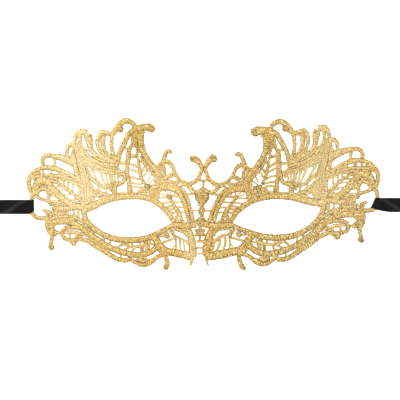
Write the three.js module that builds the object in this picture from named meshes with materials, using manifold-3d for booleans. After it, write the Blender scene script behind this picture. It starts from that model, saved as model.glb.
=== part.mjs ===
import * as THREE from 'three';
import * as BufferGeometryUtils from 'three/addons/utils/BufferGeometryUtils.js';
import Module from 'manifold-3d';

const wasm = await Module();
wasm.setup();

// An eye mask of gold lace with two black satin ribbons, lying face up.
// Millimetres: x runs across the face, y from chin to brow, z up from the table.

// Lace
const CORD_HEIGHT = 1.5;          // stitched cords and fills
const BAR_HEIGHT = 0.9;           // thin bars between the cords
const CURVE_ERROR = 0.28;         // how far a facet may leave the true curve
const KNOT_SIDES = 8;
const RIDGE_HEIGHT = 3.9;         // the nose stands this much off the table
const RIDGE_HALF_WIDTH = 38;
const NOSE_LEAN = 2.7;            // the soft nose lies over to the left by this much at its foot
const WING_SWING = 5.0;           // the right wing lies this much higher than the left one
const WING_TURN = 0.085;          // and is turned by this many radians
const WING_HINGE_V = 15.0;        // about this height

// Ribbons, with distances measured outwards from the centre line
const RIBBON_WIDTH = 10.0;
const RIBBON_THICKNESS = 0.4;
const RIBBON_FOLD_U = { left: 118.4, right: 119.6 };  // where the ribbon turns round the side loop
const RIBBON_TOP_V = { left: -4.2, right: -2.8 };     // its upper edge
const RIBBON_SLANT = { left: 0.2, right: 2.2 };       // how far the fold leans in towards its lower edge
const RIBBON_OVER_LOOP = 5.2;     // the upper layer stays this far level over the loop cord
const RIBBON_SEWN_U = 129.0;      // where its two layers come together
const RIBBON_ROLL_U = 156.0;      // middle of the rolled-up end
const RIBBON_ROLL_RADIUS = 8.4;
const RIBBON_ROLL_SIDES = 18;
const RIBBON_GATHER = 0.75;       // share of the width left where it is gathered in the loop
const LOOP_LIFT = 0.8;            // the loop cord rides on the ribbon's lower layer
const LOOP_MIDDLE_V = -8.0;
const CLEARANCE = 0.3;

// Colours
const GOLD_THREAD = 0xc8a555;
const BLACK_SATIN = 0x17171a;

// Every strand of one half: name, width at its start and end, and the middle line it follows.
// u is the distance from the centre line and v the height on the face.
const CORDS = [
  // antennae and centre
  ['antenna', [2.6, 1.9], [[5.6, 24.8], [3.2, 23], [1.8, 20], [1.0, 17], [2.2, 13.8], [3.6, 11],
    [6, 9.2], [10.2, 6.8]]],
  ['heart_top', [1.7, 1.8], [[10.2, 6.8], [8.6, 4], [6.4, 1.9], [3.6, 2.7], [0, 4.2]]],
  ['crest_arc', [2.1, 2.2], [[10.2, 6.8], [13.1, 7.9], [15.9, 9.6], [18.6, 13.6], [19.9, 16.5],
    [21.4, 20.6],
    [23.9, 22.8], [27, 22.9]]],
  ['crest_hook', [2.6, 1.9], [[31, 20], [28.6, 22.6], [27.2, 26], [26, 29], [23.9, 30.3], [21.8, 29.4]]],
  ['crest_lobe', [1.8, 2.2], [[19.5, 14.3], [22.6, 13.6], [24.9, 11.8], [26.6, 9]]],
  ['crest_post', [1.9, 1.8], [[28.2, 22], [27.4, 16], [27.2, 9.5]]],
  ['nose_outer', [2.6, 2.1], [[21, 5.8], [17, 4.6], [14, 2.3], [12, -0.8], [10.5, -4], [9.3, -8.6],
    [8.1, -12], [5.6, -19.5]]],
  ['nose_inner', [6.8, 2.3], [[31, 4.4], [25, 4.6], [20, 3.2], [16.3, 0.6], [13.6, -3.8], [11.5, -9],
    [9.6, -14.5], [7.2, -20]]],
  // horn
  ['horn_head', [5, 4.2], [[48, 46.2], [44.5, 46], [41, 46.4], [38, 46.4], [36.6, 45.8]]],
  ['horn_edge', [5, 3.4], [[44.2, 43], [43.7, 35], [41.4, 28.1], [38.1, 21.9], [34.2, 18.2], [32, 14.5],
    [31, 10.5],
    [30.4, 5]]],
  ['horn_inner_edge', [3.4, 2.6], [[44.8, 34], [43.9, 27.6], [41.6, 22], [38.4, 17.8], [35, 14.4]]],
  ['horn_valley', [2.4, 2.4], [[36, 19.8], [32.6, 19.2], [29.6, 20.8]]],
  ['horn_left', [3.4, 2], [[47.6, 45.4], [51.5, 42], [54.9, 36.7], [57.3, 31.6], [59.2, 26.4],
    [59.4, 21.6]]],
  ['horn_rib', [2.2, 2.6], [[48.6, 41], [50.6, 34.8], [52.1, 26.7], [52.6, 17], [51.9, 9.8], [51.2, 0]]],
  ['horn_midrib', [1.9, 1.9], [[47.6, 35], [46.8, 29], [45.1, 21.3], [43.2, 14], [40.6, 7]]],
  ['tall_arch', [2.6, 2.2], [[47, 45.5], [48.4, 49.2], [50.8, 51.6], [53.9, 52.3], [57, 51], [59.8, 48],
    [62.8, 43.6],
    [64.2, 37.5], [63.7, 30.8], [61.2, 24.8], [59.3, 21.2]]],
  ['arch_hook', [3.6, 3.4], [[61, 47], [58.4, 46.2]]],
  // second and third plume
  ['plume2', [2.5, 1.9], [[62.9, 43.3], [66, 43.6], [69.5, 44], [72.8, 42.4], [74.2, 37.5],
    [73.6, 32.4], [71.5, 29], [66.8, 25.4]]],
  ['plume2_inner', [2.2, 2], [[69.9, 41], [69.6, 35.5], [68.2, 30], [65, 26.4], [61, 22.8]]],
  ['plume3', [3.4, 2.9], [[90, 32], [89.8, 38.5], [88.3, 42.4], [84.4, 44.7], [81, 43], [79.4, 40]]],
  ['plume3_drop', [3.2, 1.9], [[79.3, 40.5], [79.2, 35], [77.8, 31], [73.6, 27.4], [67, 24.2]]],
  ['plume3_inner', [2.2, 2.4], [[86.6, 42.5], [85.6, 36], [83.6, 31], [79.4, 27.2], [73, 24.4],
    [66, 22.4], [59, 21]]],
  ['plume3_mid', [1.5, 1.5], [[82, 38.4], [81.9, 34], [80.6, 29.4]]],
  ['trunk_outer', [2.4, 2.4], [[93, 28.6], [91, 22.6], [88.8, 16.4], [86.8, 9]]],
  ['trunk', [5.6, 2.6], [[89.2, 35], [87.8, 25], [86, 15.5], [84.6, 6.5], [84, -4.5]]],
  ['trunk_inner', [3.6, 2.4], [[86.8, 30.5], [84.2, 23], [82.2, 16], [80.8, 9], [79.2, 1.6], [77.8, -4.5]]],
  // fan under the plumes
  ['fan_rim', [2.4, 2.3], [[80.8, 19.5], [78.8, 13.6], [76, 9.8], [72.8, 6.6], [69.4, 4.9], [66.2, 5.1],
    [63, 7.4]]],
  ['fan_knot', [3.8, 1.9], [[63.6, 7], [60.6, 7.2], [57.9, 8.3], [55.9, 11], [55.2, 14]]],
  ['fan_post', [3.3, 3.6], [[62.8, 7.2], [62.3, 3], [62.2, -2]]],
  ['under_fan', [2, 2], [[81.4, 8.6], [78.9, 6.2], [76.4, 3.6], [73.4, 1.7], [69, -0.2], [64, -1.6]]],
  // first and second ear, outer arch and the ring at the temple
  ['ear2', [2.1, 2.2], [[95.4, 26], [95.9, 30.4], [94.8, 34.2], [91, 35]]],
  ['ear1', [2.2, 5.2], [[112.3, 19.6], [112.6, 24], [110.4, 27.1], [106.6, 27.6], [101, 26.1],
    [96, 24.8], [91.4, 22.8]]],
  ['outer_arch', [2.2, 3.2], [[119.2, -1.4], [121.2, 3], [122.2, 8.4], [120.6, 14.3], [116.4, 18.2],
    [111.5, 19.4],
    [104.5, 18.6], [97, 15.6], [90.4, 11.9], [85, 7.6]]],
  ['inner_arch', [2.2, 2], [[117.6, 11.4], [113.8, 13.6], [108.8, 14.1], [103, 13.7], [97.4, 12.2],
    [91, 9.8]]],
  ['ring_outer', [3.2, 4], [[116.8, -1.2], [118, 3.4], [117, 8], [114.2, 10.8], [110.4, 11], [107.4, 9]]],
  ['ring_mid', [2.8, 4.4], [[116.6, 0.8], [115.2, 4.2], [112.4, 6], [109, 4.8]]],
  ['ring_right', [2.4, 2.1], [[109.4, 8], [108.1, 3.6], [107.7, -1], [107.6, -5], [105.4, -8.9]]],
  ['ring_low', [1.8, 1.8], [[116.9, -1.3], [113.6, -3.3], [107.7, -5]]],
  ['side_loop', [2.2, 2.2], [[118.4, 0.6], [120, -3], [120.3, -8], [120, -12.4], [116.8, -16.3],
    [110, -17.3]]],
  ['side_tail', [1.9, 2.2], [[112, -10.4], [109.9, -12.1], [108.9, -15], [109.4, -18]]],
  // ribs that run from the temple to the eye
  ['rib_outer', [4.4, 3.6], [[110.6, 11.4], [105.6, 6.2], [101.8, 1.8], [97.6, -2.6], [92.4, -6.2],
    [84, -10.6]]],
  ['rib_inner', [2.1, 2.1], [[103.4, 10.8], [98.4, 6.4], [93.4, 2.5], [89, -1.2], [84.4, -5.6]]],
  ['rib_cross', [2.6, 2.6], [[105.6, -9], [100, -10.6], [94, -9.8], [88, -8.4], [81.5, -8.6]]],
  // cheek
  ['cheek_edge', [2.3, 2.6], [[109.2, -17], [109.6, -21], [108.2, -25.2], [105.7, -29.2], [105.8, -33],
    [106.1, -36.6]]],
  ['cheek_lobe', [3.4, 2.6], [[107.6, -18.4], [106.4, -23.4], [104.6, -26.6], [101.4, -27]]],
  ['cheek_leaf', [2.2, 2.6], [[107.4, -18.6], [103.6, -16.6], [98, -15.4], [91.6, -16.4], [86.2, -18.2],
    [81.4, -20.6]]],
  ['low_ring', [3, 2.3], [[84.6, -25.6], [89, -23.9], [95, -23.3], [98.1, -25.2], [98.4, -29],
    [95.4, -31.7], [90.4, -32.3],
    [85.4, -32]]],
  ['low_tip', [3.6, 1.8], [[90.3, -32.6], [90.3, -35.2]]],
  // eye rim, cheek bands and scallops
  ['brow', [4.6, 4], [[84.5, -10.8], [78, -8.3], [70, -5], [62, -2.6], [54, -1.8], [46, -1.8],
    [39, -2.9], [33.4, -5.4],
    [28.6, -9.2], [24.4, -13.6], [20.4, -19.4]]],
  ['eye_rim', [3.8, 3.8], [[19.6, -20.6], [26, -24.2], [32, -27.4], [38, -30], [45, -31.5], [54, -32.2],
    [62, -31.6],
    [68, -29.7], [74, -25.9], [79.4, -21.2], [82.6, -16], [83.6, -9.6]]],
  ['cheek_band', [3.2, 4], [[106, -20.4], [98, -19.2], [91, -20.2], [84.4, -24], [78, -29.3],
    [72, -33.1], [66.4, -36.9],
    [60, -39.5], [53, -41.6], [45, -42], [37.6, -40.6], [32.4, -37]]],
  ['hem_band', [3.4, 3.2], [[86.4, -31.8], [80.4, -33.2], [75.6, -36.1], [69, -39.9], [62.6, -43.5],
    [56.6, -45.9], [51.4, -45.6],
    [48.6, -43]]],
  ['scallop', [2.4, 2.4], [[51, -45.8], [46.6, -48.7], [42, -49.6], [37.6, -48.2], [33.4, -44.9],
    [29.6, -42.9], [26, -41.4]]],
  ['scallop_leaf', [6, 4.4], [[49.6, -43.8], [46, -45.4], [41.6, -46.2], [37.6, -46.8], [35.6, -46.2]]],
  ['cheek_root', [4.4, 4.4], [[35.6, -29.6], [32, -33], [29.2, -37], [25, -40.2], [20, -41.2],
    [12, -42.4], [6.2, -43.6]]],
  ['cheek_root_side', [2.4, 3.6], [[33.6, -31], [33, -35.6], [30.6, -39], [28, -41.6]]],
  // nose
  ['nose_post', [5, 5.6], [[8.4, -24], [6.9, -28], [5.8, -33], [5.3, -38.6], [5.2, -43.6]]],
  ['nose_band', [5.6, 4.6], [[21, -21.6], [15, -22.8], [9, -22.6], [3, -20.6]]],
  ['nose_tail', [2.2, 1.4], [[4.2, -42], [5.2, -47.4], [5.9, -50]]],
  ['nose_rib', [2.4, 1.6], [[22.3, -2], [20.6, -6.6], [17.4, -12], [14.2, -17], [11.4, -21]]],
  ['nose_leaf_foot', [2, 2.4], [[20.6, -9.4], [19, -12.6], [18.6, -16], [19.8, -19.6]]],
  ['nose_drop', [3, 2.6], [[26.8, -28], [24.8, -28.4], [23.8, -31.4]]],
  ['nose_net', [2, 1.6], [[24, -26.4], [19.6, -27.4], [16.4, -29.6], [12, -30.8], [9.6, -33.6],
    [7, -36.6]]],
];

// Round knots at the ends of cords: name, radius, place.
const KNOTS = [
  ['antenna_knot', 2.25, [7.3, 24.7]],
  ['crest_knot', 1.15, [22.2, 29.5]],
  ['horn_knot', 2.5, [36.6, 45.6]],
  ['horn_fan_knot', 2.6, [38.4, 5.2]],
  ['arch_knot', 2.2, [58, 46]],
  ['plume2_knot', 2.1, [69.8, 41.7]],
  ['plume3_knot', 1.7, [79.2, 40.6]],
  ['fan_ring_knot', 2.3, [63, 6.4]],
  ['cheek_drop_knot', 1.9, [106, -37]],
  ['nose_leaf_knot', 2.1, [22.6, -1.8]],
];

// Flat stitched fills: broad bands of side-by-side thread.
const FILLS = [
  ['bridge_fill', [2.4, 3.4], [[8, 3.6], [10.8, 5.6], [15.6, 7.4]]],
  ['brow_root_fill', [5.2, 4.4], [[33, 8], [26, 7.8], [21, 7.6], [15, 7.2]]],
  ['crest_fill', [3, 6.4], [[26.2, 10.4], [22.6, 11.2], [18, 10.2]]],
  ['valley_fill', [6, 4.6], [[30.2, 19.8], [29.3, 14], [29, 9]]],
  ['brow_root_low', [8, 5.4], [[33.8, 6.4], [34, 1], [34, -4]]],
  ['horn_fill', [7.6, 4.4], [[45.2, 46], [45.6, 40], [45, 28.6]]],
  ['plume3_fill', [3.6, 4.4], [[88.2, 42], [87.1, 36], [86.2, 29]]],
  ['plume_fill_high', [4.4, 5.6], [[86, 29], [80, 25.6], [74, 23.4], [67, 21.9], [59, 20.2]]],
  ['plume_fill_low', [8, 4.6], [[83.6, 22.4], [78, 20.6], [72, 18.6], [65, 16.7], [58, 15.4],
    [53.4, 13.8]]],
  ['trunk_fill', [3.6, 4.6], [[89.4, 30], [87.6, 22], [85, 12], [82.4, 3], [80.8, -4]]],
  ['arch_fill', [3.6, 3], [[118.8, 9.6], [117.6, 14], [114, 16.4]]],
  ['ear2_fill', [6.4, 8.4], [[92.4, 34.6], [92.2, 30], [92.2, 22.6]]],
  ['ring_fill', [3.4, 4.2], [[118.4, 11.4], [113, 12.2], [107, 11.6], [101, 11.2]]],
  ['ring_side_fill', [3, 2.6], [[107.4, 8.4], [109.6, 9]]],
  ['temple_fill', [4.4, 3], [[100, 14.2], [95, 12.4], [89, 9]]],
  ['under_fan_fill', [4.6, 8], [[72.4, 0.2], [79.4, 2]]],
  ['temple_gap_fill', [3.4, 2.4], [[106.6, 1.4], [104, -2.4], [99.6, -5.2]]],
  ['brow_fill', [6, 4], [[83, -6.4], [74, -2.8], [66, -1.6], [61, -1]]],
  ['cheek_fill', [5, 4], [[107, -13.2], [101, -13.4], [96, -12.6]]],
  ['cheek_fill_low', [3, 3], [[103, -18], [96, -17.4], [90, -18.4], [84, -21.4], [79, -25]]],
  ['cheek_side_fill', [5, 5.4], [[104, -11], [104.8, -15], [105.4, -19]]],
  ['temple_side_fill', [3.4, 4.4], [[86.2, -9], [85.2, -13.4], [84.2, -19]]],
  ['low_ring_fill', [4.4, 4], [[88.4, -25.6], [83, -28.8], [77, -33]]],
  ['cheek_gap_fill', [2.4, 2], [[77.4, -32], [71, -36.2], [65, -39.6]]],
  ['rim_fill', [3, 2.4], [[83, -20.6], [79, -25.4], [73.6, -29.8]]],
  ['nose_fill', [5, 3.4], [[20, -22.6], [14, -24.4], [9, -26], [7.4, -30]]],
];

// Thin bars, the brides that tie the cords together.
const BARS = [
  ['antenna_bar', [1, 1], [[4, 10.4], [0, 9.7]]],
  ['heart_side', [1.3, 1.3], [[11.4, -0.2], [8, 0.2], [4.6, 1.6]]],
  ['oval_bar', [1, 1], [[8.4, -11.6], [5.4, -10.9], [2.4, -11.2]]],
  ['crest_bar', [1.2, 1.2], [[13.6, 7.8], [14.6, 5.4], [15.4, 3.6]]],
  ['arch_tie', [1.7, 1.7], [[59.6, 21.8], [56, 22.4], [52.6, 22.2]]],
  ['arch_tie_low', [1.6, 1.6], [[59.4, 21.6], [58.4, 17.4], [56.4, 15.3], [53, 14.4]]],
  ['horn_tie', [1.1, 1.1], [[55.4, 33.6], [53, 32.3], [50.8, 31.8]]],
  ['knot_tie', [2, 2], [[40, 4.2], [43.4, 3], [46.6, 1], [50, 0.2]]],
  ['knot_foot', [2.4, 2.4], [[38, 3.6], [36.6, 0], [35, -4]]],
  ['knot_side', [2.4, 2.4], [[38, 5.8], [34, 5], [30, 5.2]]],
  ['plume_tie', [1.2, 1.2], [[88.8, 38.8], [86, 37.4]]],
  ['ear_post', [1.7, 1.7], [[104.3, 26.4], [103.8, 22], [103.6, 18.8]]],
  ['under_fan_tie', [1.3, 1.3], [[74.2, 7.6], [73.2, 1.9]]],
  ['under_fan_bar', [1.1, 1.1], [[67.8, 4.8], [66.9, 1.8], [65.4, -0.8]]],
  ['temple_slot', [1.1, 1.1], [[108.4, 8.4], [104.8, 9.9], [101, 9.2]]],
  ['temple_tie', [1.4, 1.4], [[107.5, -5.2], [102, -5.4], [96, -7.2]]],
  ['temple_tie_low', [1.4, 1.4], [[105.6, -8.4], [101, -8.5], [95, -9.6]]],
  ['cheek_tie', [1.3, 1.3], [[102, -26.8], [98.6, -26.8]]],
  ['cheek_slit', [3.4, 4.4], [[107.8, -10.6], [107, -15], [107.8, -19.4]]],
  ['low_ring_bar', [1.3, 1.3], [[98, -26.4], [93.4, -26.4], [88.6, -27.2], [84, -29.2]]],
  ['net_rail', [1.4, 1.4], [[61, -36.4], [57, -35.6], [52.6, -35.9], [48, -36.8], [40, -36.5]]],
  ['net_post', [2.8, 2.8], [[39.8, -31.4], [39.2, -36], [39.6, -41.2]]],
  ['net_side', [1.7, 1.7], [[39, -34.2], [36, -34.8], [33, -34.4]]],
  ['nose_tie', [1, 1], [[29.6, -33.6], [24, -32.4], [18.6, -31.2]]],
  ['nose_tie_high', [1.1, 1.1], [[31.4, -29.4], [27, -28.9]]],
  ['nose_tie_low', [1, 1], [[17.4, -35.2], [20, -36.6], [22.4, -38.8]]],
  ['bridge_high', [1, 1], [[4.4, -33], [0, -32.6]]],
  ['bridge_mid', [1, 1], [[3.8, -37.9], [0, -37.2]]],
  ['bridge_low', [1, 1], [[4.4, -41.2], [0, -42]]],
];

// Ladders of thin bars between two cords: name, width, how many, first rail and second rail.
const LADDERS = [
  ['horn_vein', 1.1, 6, [[52, 26.8], [52.4, 17], [51.4, 5]], [[46.6, 25.8], [44.4, 17], [41, 6.9]]],
  ['horn_fan', 1.0, 4, [[41.6, 17.4], [36, 14.4], [32, 9]], [[40.6, 8.4], [39, 7.6], [37.6, 5.8]]],
  ['fan_vein', 1.05, 5, [[76.6, 19], [70, 16.6], [62, 13.6]], [[69.4, 5.4], [66.6, 6.2], [63.6, 7]]],
  ['arch_rung', 1.1, 4, [[115.4, 18.6], [108, 19], [100.4, 17]], [[114.2, 13.4], [107, 14], [99.4, 12.8]]],
  ['rib_rung', 1.1, 4, [[104.6, 6], [99.6, -0.6], [93.4, -5.8]], [[100.4, 8.2], [94.8, 3.4], [87.6, -2.6]]],
  ['temple_rung', 1.2, 4, [[98.8, 12], [93.4, 10.4], [87.4, 8]], [[97, 5.2], [91.8, 1.2], [87, -3]]],
  ['cheek_rung', 1.2, 4, [[94.6, -9.6], [90, -8.8], [86, -8.4]], [[94.8, -15.6], [90.6, -16.6],
    [86.8, -18]]],
  ['low_ring_rung', 1.2, 3, [[93.4, -26.2], [89, -27], [84.6, -29]], [[93.2, -32], [89, -32.2],
    [84.6, -32.2]]],
  ['net_rung_high', 1.2, 6, [[70, -29.2], [56, -32], [37.2, -29.8]], [[69.4, -34.6], [55, -36],
    [36.8, -35]]],
  ['net_rung_low', 1.1, 4, [[56, -35.6], [49.6, -36.6], [43.4, -36.6]], [[57.6, -40.6], [50.8, -41.4],
    [43, -41.6]]],
  ['nose_vein_in', 1.0, 4, [[21.6, -2.4], [19.4, -8.4], [16, -13.8]], [[14, -1.6], [12.8, -7.6],
    [10.6, -13.6]]],
  ['nose_vein_out', 1.0, 4, [[22.4, -2.4], [20.6, -6.8], [18.6, -10.4]], [[31, -2.6], [26.6, -9],
    [21.8, -14.6]]],
  ['nose_thread', 1.0, 3, [[18, -29], [14, -30.6], [10.2, -32.8]], [[18.2, -40], [14.2, -40.6],
    [10.2, -41]]],
];

// Pieces on the centre line itself, drawn once.
const MIDDLE = [
  ['antenna_link', [1.2, 1.2], [[0, 10], [0, 4.4]]],
  ['heart_high', [2, 10], [[0, 4.8], [0, 2.4]]],
  ['heart', [10, 10], [[0, 2.4], [0, -2.2]]],
  ['heart_low', [10, 5.4], [[0, -2.2], [0, -7]]],
  ['heart_link', [2, 2], [[0, -6.2], [0, -8.8]]],
  ['oval_link', [1.8, 2.2], [[0, -13.4], [0, -16.6]]],
  ['lozenge_high', [2, 7.4], [[0, -15.6], [0, -19.2]]],
  ['lozenge_low', [7.4, 3.4], [[0, -19.2], [0, -22.4]]],
  ['star_link', [1.5, 1.5], [[0, -21.6], [0, -25.4]]],
  ['star_foot', [1.2, 1.2], [[0, -29], [0, -33]]],
];
const OVAL = { v: -11.1, outer: [2.9, 3.2], inner: [1.1, 1.5] };
const STAR = { v: -27.1, lobes: 6, reach: 3.5, waist: 2.2 };

// The hanging drop at each side of the nose, which lies where it fell, and the knot at its end.
const DROPS = {
  left: { route: [[25.9, -41.6], [25.2, -46.4], [25.3, -49.6], [25.8, -51.2]], knot: [25.9, -51.4] },
  right: { route: [[25.3, -42.2], [25.8, -46.4], [27, -49.8], [28.8, -52]], knot: [28.9, -52] },
};
const DROP_WIDTHS = [2.2, 2.8];
const DROP_KNOT_RADIUS = 1.9;

// Where the right half has been pulled out of a mirror image of the left one by handling:
// place on the pattern, reach of the pull along and up the face, and how far it went.
const PULLS = [
  { at: [28, 23], reach: [14, 13], by: [1.0, -2.0] },
  { at: [38, 46], reach: [9, 9], by: [-1.2, -1.5] },
  { at: [53, 35], reach: [12, 12], by: [0.5, -1.0] },
  { at: [57, 45], reach: [4, 4], by: [-0.6, 1.1] },
  { at: [70, 44], reach: [12, 12], by: [-0.4, -0.8] },
  { at: [90, 38], reach: [10, 10], by: [0, -0.9] },
  { at: [58, -27], reach: [18, 8], by: [-1.0, 1.7] },
  { at: [82, -11], reach: [7, 7], by: [0.5, 1.1] },
  { at: [28, -42], reach: [12, 8], by: [0, 0.8] },
  { at: [24, -14], reach: [9, 9], by: [-1.3, -0.1] },
  { at: [45, -2], reach: [12, 8], by: [-0.2, 0.3] },
  { at: [72, -6], reach: [10, 5], by: [0, -0.5] },
  { at: [72, -40], reach: [14, 6], by: [0, -0.7] },
  { at: [90, -33], reach: [8, 6], by: [0.8, 0.5] },
  { at: [98, -18], reach: [8, 10], by: [-0.9, 0] },
  { at: [120, -4], reach: [5, 6], by: [0.7, 0] },
];

const smooth = (from, to, value) => {
  const t = Math.min(1, Math.max(0, (value - from) / (to - from)));
  return t * t * (3 - 2 * t);
};

// Where a point of the pattern lies on the table: the cloth is soft and was laid by hand.
function lay(side, u, v) {
  const lean = 0.3 - NOSE_LEAN * smooth(10, -35, v);
  let x = side * u + lean * (1 - smooth(6, 26, u));
  let y = v;
  if (side > 0) {
    y += WING_SWING * smooth(50, 108, u);
    x += WING_TURN * (WING_HINGE_V - v) * smooth(72, 106, u);
    for (const { at, reach, by } of PULLS) {
      const away = ((u - at[0]) / reach[0]) ** 2 + ((v - at[1]) / reach[1]) ** 2;
      const share = Math.exp(-away / 2) * smooth(3, 14, u);
      x += by[0] * share;
      y += by[1] * share;
    }
  }
  return [x, y];
}

// How far the underside stands off the table at a point of the pattern.
function lift(u, v) {
  const ridge = RIDGE_HEIGHT * (1 - smooth(2, RIDGE_HALF_WIDTH, u)) * (0.45 + 0.55 * smooth(20, -10, v));
  const loop = LOOP_LIFT * smooth(112.5, 117, u) * (1 - smooth(7, 9.4, Math.abs(v - LOOP_MIDDLE_V)));
  return ridge + loop;
}

// Keep only the points of a line that it needs to stay within CURVE_ERROR.
function thinOut(points) {
  if (points.length < 3) return points;
  const [a, b] = [points[0], points[points.length - 1]];
  const span = Math.max(a.distanceTo(b), 1e-6);
  let worst = 0;
  let at = 0;
  points.forEach((p, i) => {
    const off = Math.abs((b.x - a.x) * (a.y - p.y) - (a.x - p.x) * (b.y - a.y)) / span;
    if (off > worst) {
      worst = off;
      at = i;
    }
  });
  if (worst < CURVE_ERROR) return [a, b];
  return [...thinOut(points.slice(0, at + 1)).slice(0, -1), ...thinOut(points.slice(at))];
}

// The outline of a strand: its middle line offset half a width to each side.
function strandShape([w0, w1], route, side) {
  const curve = new THREE.SplineCurve(route.map(([u, v]) => new THREE.Vector2(side * u, v)));
  const steps = Math.max(2, Math.ceil(curve.getLength() / 0.7));
  const middle = thinOut(curve.getSpacedPoints(steps));
  const total = curve.getLength();
  const left = [];
  const right = [];
  let run = 0;
  middle.forEach((p, i) => {
    const before = middle[Math.max(0, i - 1)];
    const after = middle[Math.min(middle.length - 1, i + 1)];
    run += p.distanceTo(before);
    const along = after.clone().sub(before).normalize();
    const half = THREE.MathUtils.lerp(w0, w1, Math.min(1, run / total)) / 2;
    left.push(new THREE.Vector2(p.x - along.y * half, p.y + along.x * half));
    right.unshift(new THREE.Vector2(p.x + along.y * half, p.y - along.x * half));
  });
  return new THREE.Shape([...left, ...right]);
}

function roundShape(x, y, rx, ry, sides) {
  const corners = Array.from({ length: sides }, (_, i) => {
    const a = (2 * Math.PI * i) / sides;
    return new THREE.Vector2(x + rx * Math.cos(a), y + ry * Math.sin(a));
  });
  return new THREE.Shape(corners);
}

function knotShape(radius, [u, v], side) {
  return roundShape(side * u, v, radius, radius, KNOT_SIDES);
}

function starShape() {
  const corners = Array.from({ length: STAR.lobes * 2 }, (_, i) => {
    const a = Math.PI / 2 + (Math.PI * i) / STAR.lobes;
    const r = i % 2 ? STAR.waist : STAR.reach;
    return new THREE.Vector2(r * Math.cos(a), STAR.v + r * Math.sin(a));
  });
  return new THREE.Shape(corners);
}

function toSolid(geometry) {
  const bare = geometry.clone();
  bare.deleteAttribute('normal');
  bare.deleteAttribute('uv');
  const merged = BufferGeometryUtils.mergeVertices(bare, 1e-4);
  return new wasm.Manifold(new wasm.Mesh({
    numProp: 3,
    vertProperties: new Float32Array(merged.attributes.position.array),
    triVerts: new Uint32Array(merged.index.array),
  }));
}

// A tall prism of a shape. The prisms are joined first and cut to height afterwards.
function prism(shape) {
  const depth = 4 * CORD_HEIGHT;
  const geometry = new THREE.ExtrudeGeometry(shape, { depth, bevelEnabled: false, curveSegments: 8 });
  geometry.translate(0, 0, -depth / 2);
  return toSolid(geometry);
}

function slab(height) {
  const box = new THREE.BoxGeometry(400, 200, height);
  box.translate(0, 0, height / 2);
  return toSolid(box);
}

function ladderStrands([name, width, count, first, second]) {
  const rail = (points) => new THREE.SplineCurve(points.map(([u, v]) => new THREE.Vector2(u, v)));
  const [a, b] = [rail(first), rail(second)];
  return Array.from({ length: count }, (_, i) => {
    const t = i / (count - 1);
    return [`${name}_${i + 1}`, [width, width], [a.getPoint(t).toArray(), b.getPoint(t).toArray()]];
  });
}

function joinPrisms(shapes, height) {
  const whole = shapes.map(prism).reduce((sum, next) => sum.add(next));
  return whole.intersect(slab(height));
}

function laceSolid() {
  const high = [];
  const low = [];
  for (const side of [-1, 1]) {
    const drop = side < 0 ? DROPS.left : DROPS.right;
    high.push(strandShape(DROP_WIDTHS, drop.route, side));
    high.push(knotShape(DROP_KNOT_RADIUS, drop.knot, side));
    for (const [, widths, route] of [...CORDS, ...FILLS]) high.push(strandShape(widths, route, side));
    for (const [, radius, place] of KNOTS) high.push(knotShape(radius, place, side));
    for (const [, widths, route] of [...BARS, ...LADDERS.flatMap(ladderStrands)]) {
      low.push(strandShape(widths, route, side));
    }
  }
  for (const [, widths, route] of MIDDLE) high.push(strandShape(widths, route, 1));
  high.push(roundShape(0, OVAL.v, ...OVAL.outer, 12), starShape());
  const hole = prism(roundShape(0, OVAL.v, ...OVAL.inner, 8));
  return joinPrisms(high, CORD_HEIGHT).add(joinPrisms(low, BAR_HEIGHT)).subtract(hole);
}

function laceGeometry() {
  const { vertProperties, triVerts, numProp } = laceSolid().getMesh();
  const positions = [];
  for (let i = 0; i < vertProperties.length; i += numProp) {
    const [x, y, z] = vertProperties.subarray(i, i + 3);
    const side = x < 0 ? -1 : 1;
    positions.push(...lay(side, Math.abs(x), y), z + lift(Math.abs(x), y));
  }
  const geometry = new THREE.BufferGeometry();
  geometry.setAttribute('position', new THREE.Float32BufferAttribute(positions, 3));
  geometry.setIndex([...triVerts]);
  return geometry;
}

// Side view of a ribbon from the loop outwards: folded round the loop cord, sewn, then flat and rolled up.
function ribbonProfile(fold) {
  const t = RIBBON_THICKNESS;
  const r = RIBBON_ROLL_RADIUS;
  const top = LOOP_LIFT + CORD_HEIGHT + CLEARANCE + t;
  const level = fold + RIBBON_OVER_LOOP;
  const bevel = 0.5;
  const meet = Math.sqrt(r * r - (r - t) ** 2);
  const shape = new THREE.Shape();
  shape.moveTo(RIBBON_ROLL_U, 0);
  shape.lineTo(fold + bevel, 0);
  shape.lineTo(fold, bevel);
  shape.lineTo(fold, top - bevel);
  shape.lineTo(fold + bevel, top);
  shape.lineTo(level, top);
  shape.lineTo(RIBBON_SEWN_U, 2 * t);
  shape.lineTo(RIBBON_SEWN_U + 4, t);
  shape.lineTo(RIBBON_ROLL_U - meet, t);
  const start = Math.atan2(t - r, -meet);
  const turn = start + 2.5 * Math.PI;
  for (let i = 1; i < RIBBON_ROLL_SIDES; i += 1) {
    const a = start - (i / RIBBON_ROLL_SIDES) * turn;
    shape.lineTo(RIBBON_ROLL_U + r * Math.cos(a), r + r * Math.sin(a));
  }
  shape.holes.push(new THREE.Path([
    new THREE.Vector2(fold + t, t),
    new THREE.Vector2(RIBBON_SEWN_U - 2, t),
    new THREE.Vector2(level, top - t),
    new THREE.Vector2(fold + t, top - t),
  ]));
  return shape;
}

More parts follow.
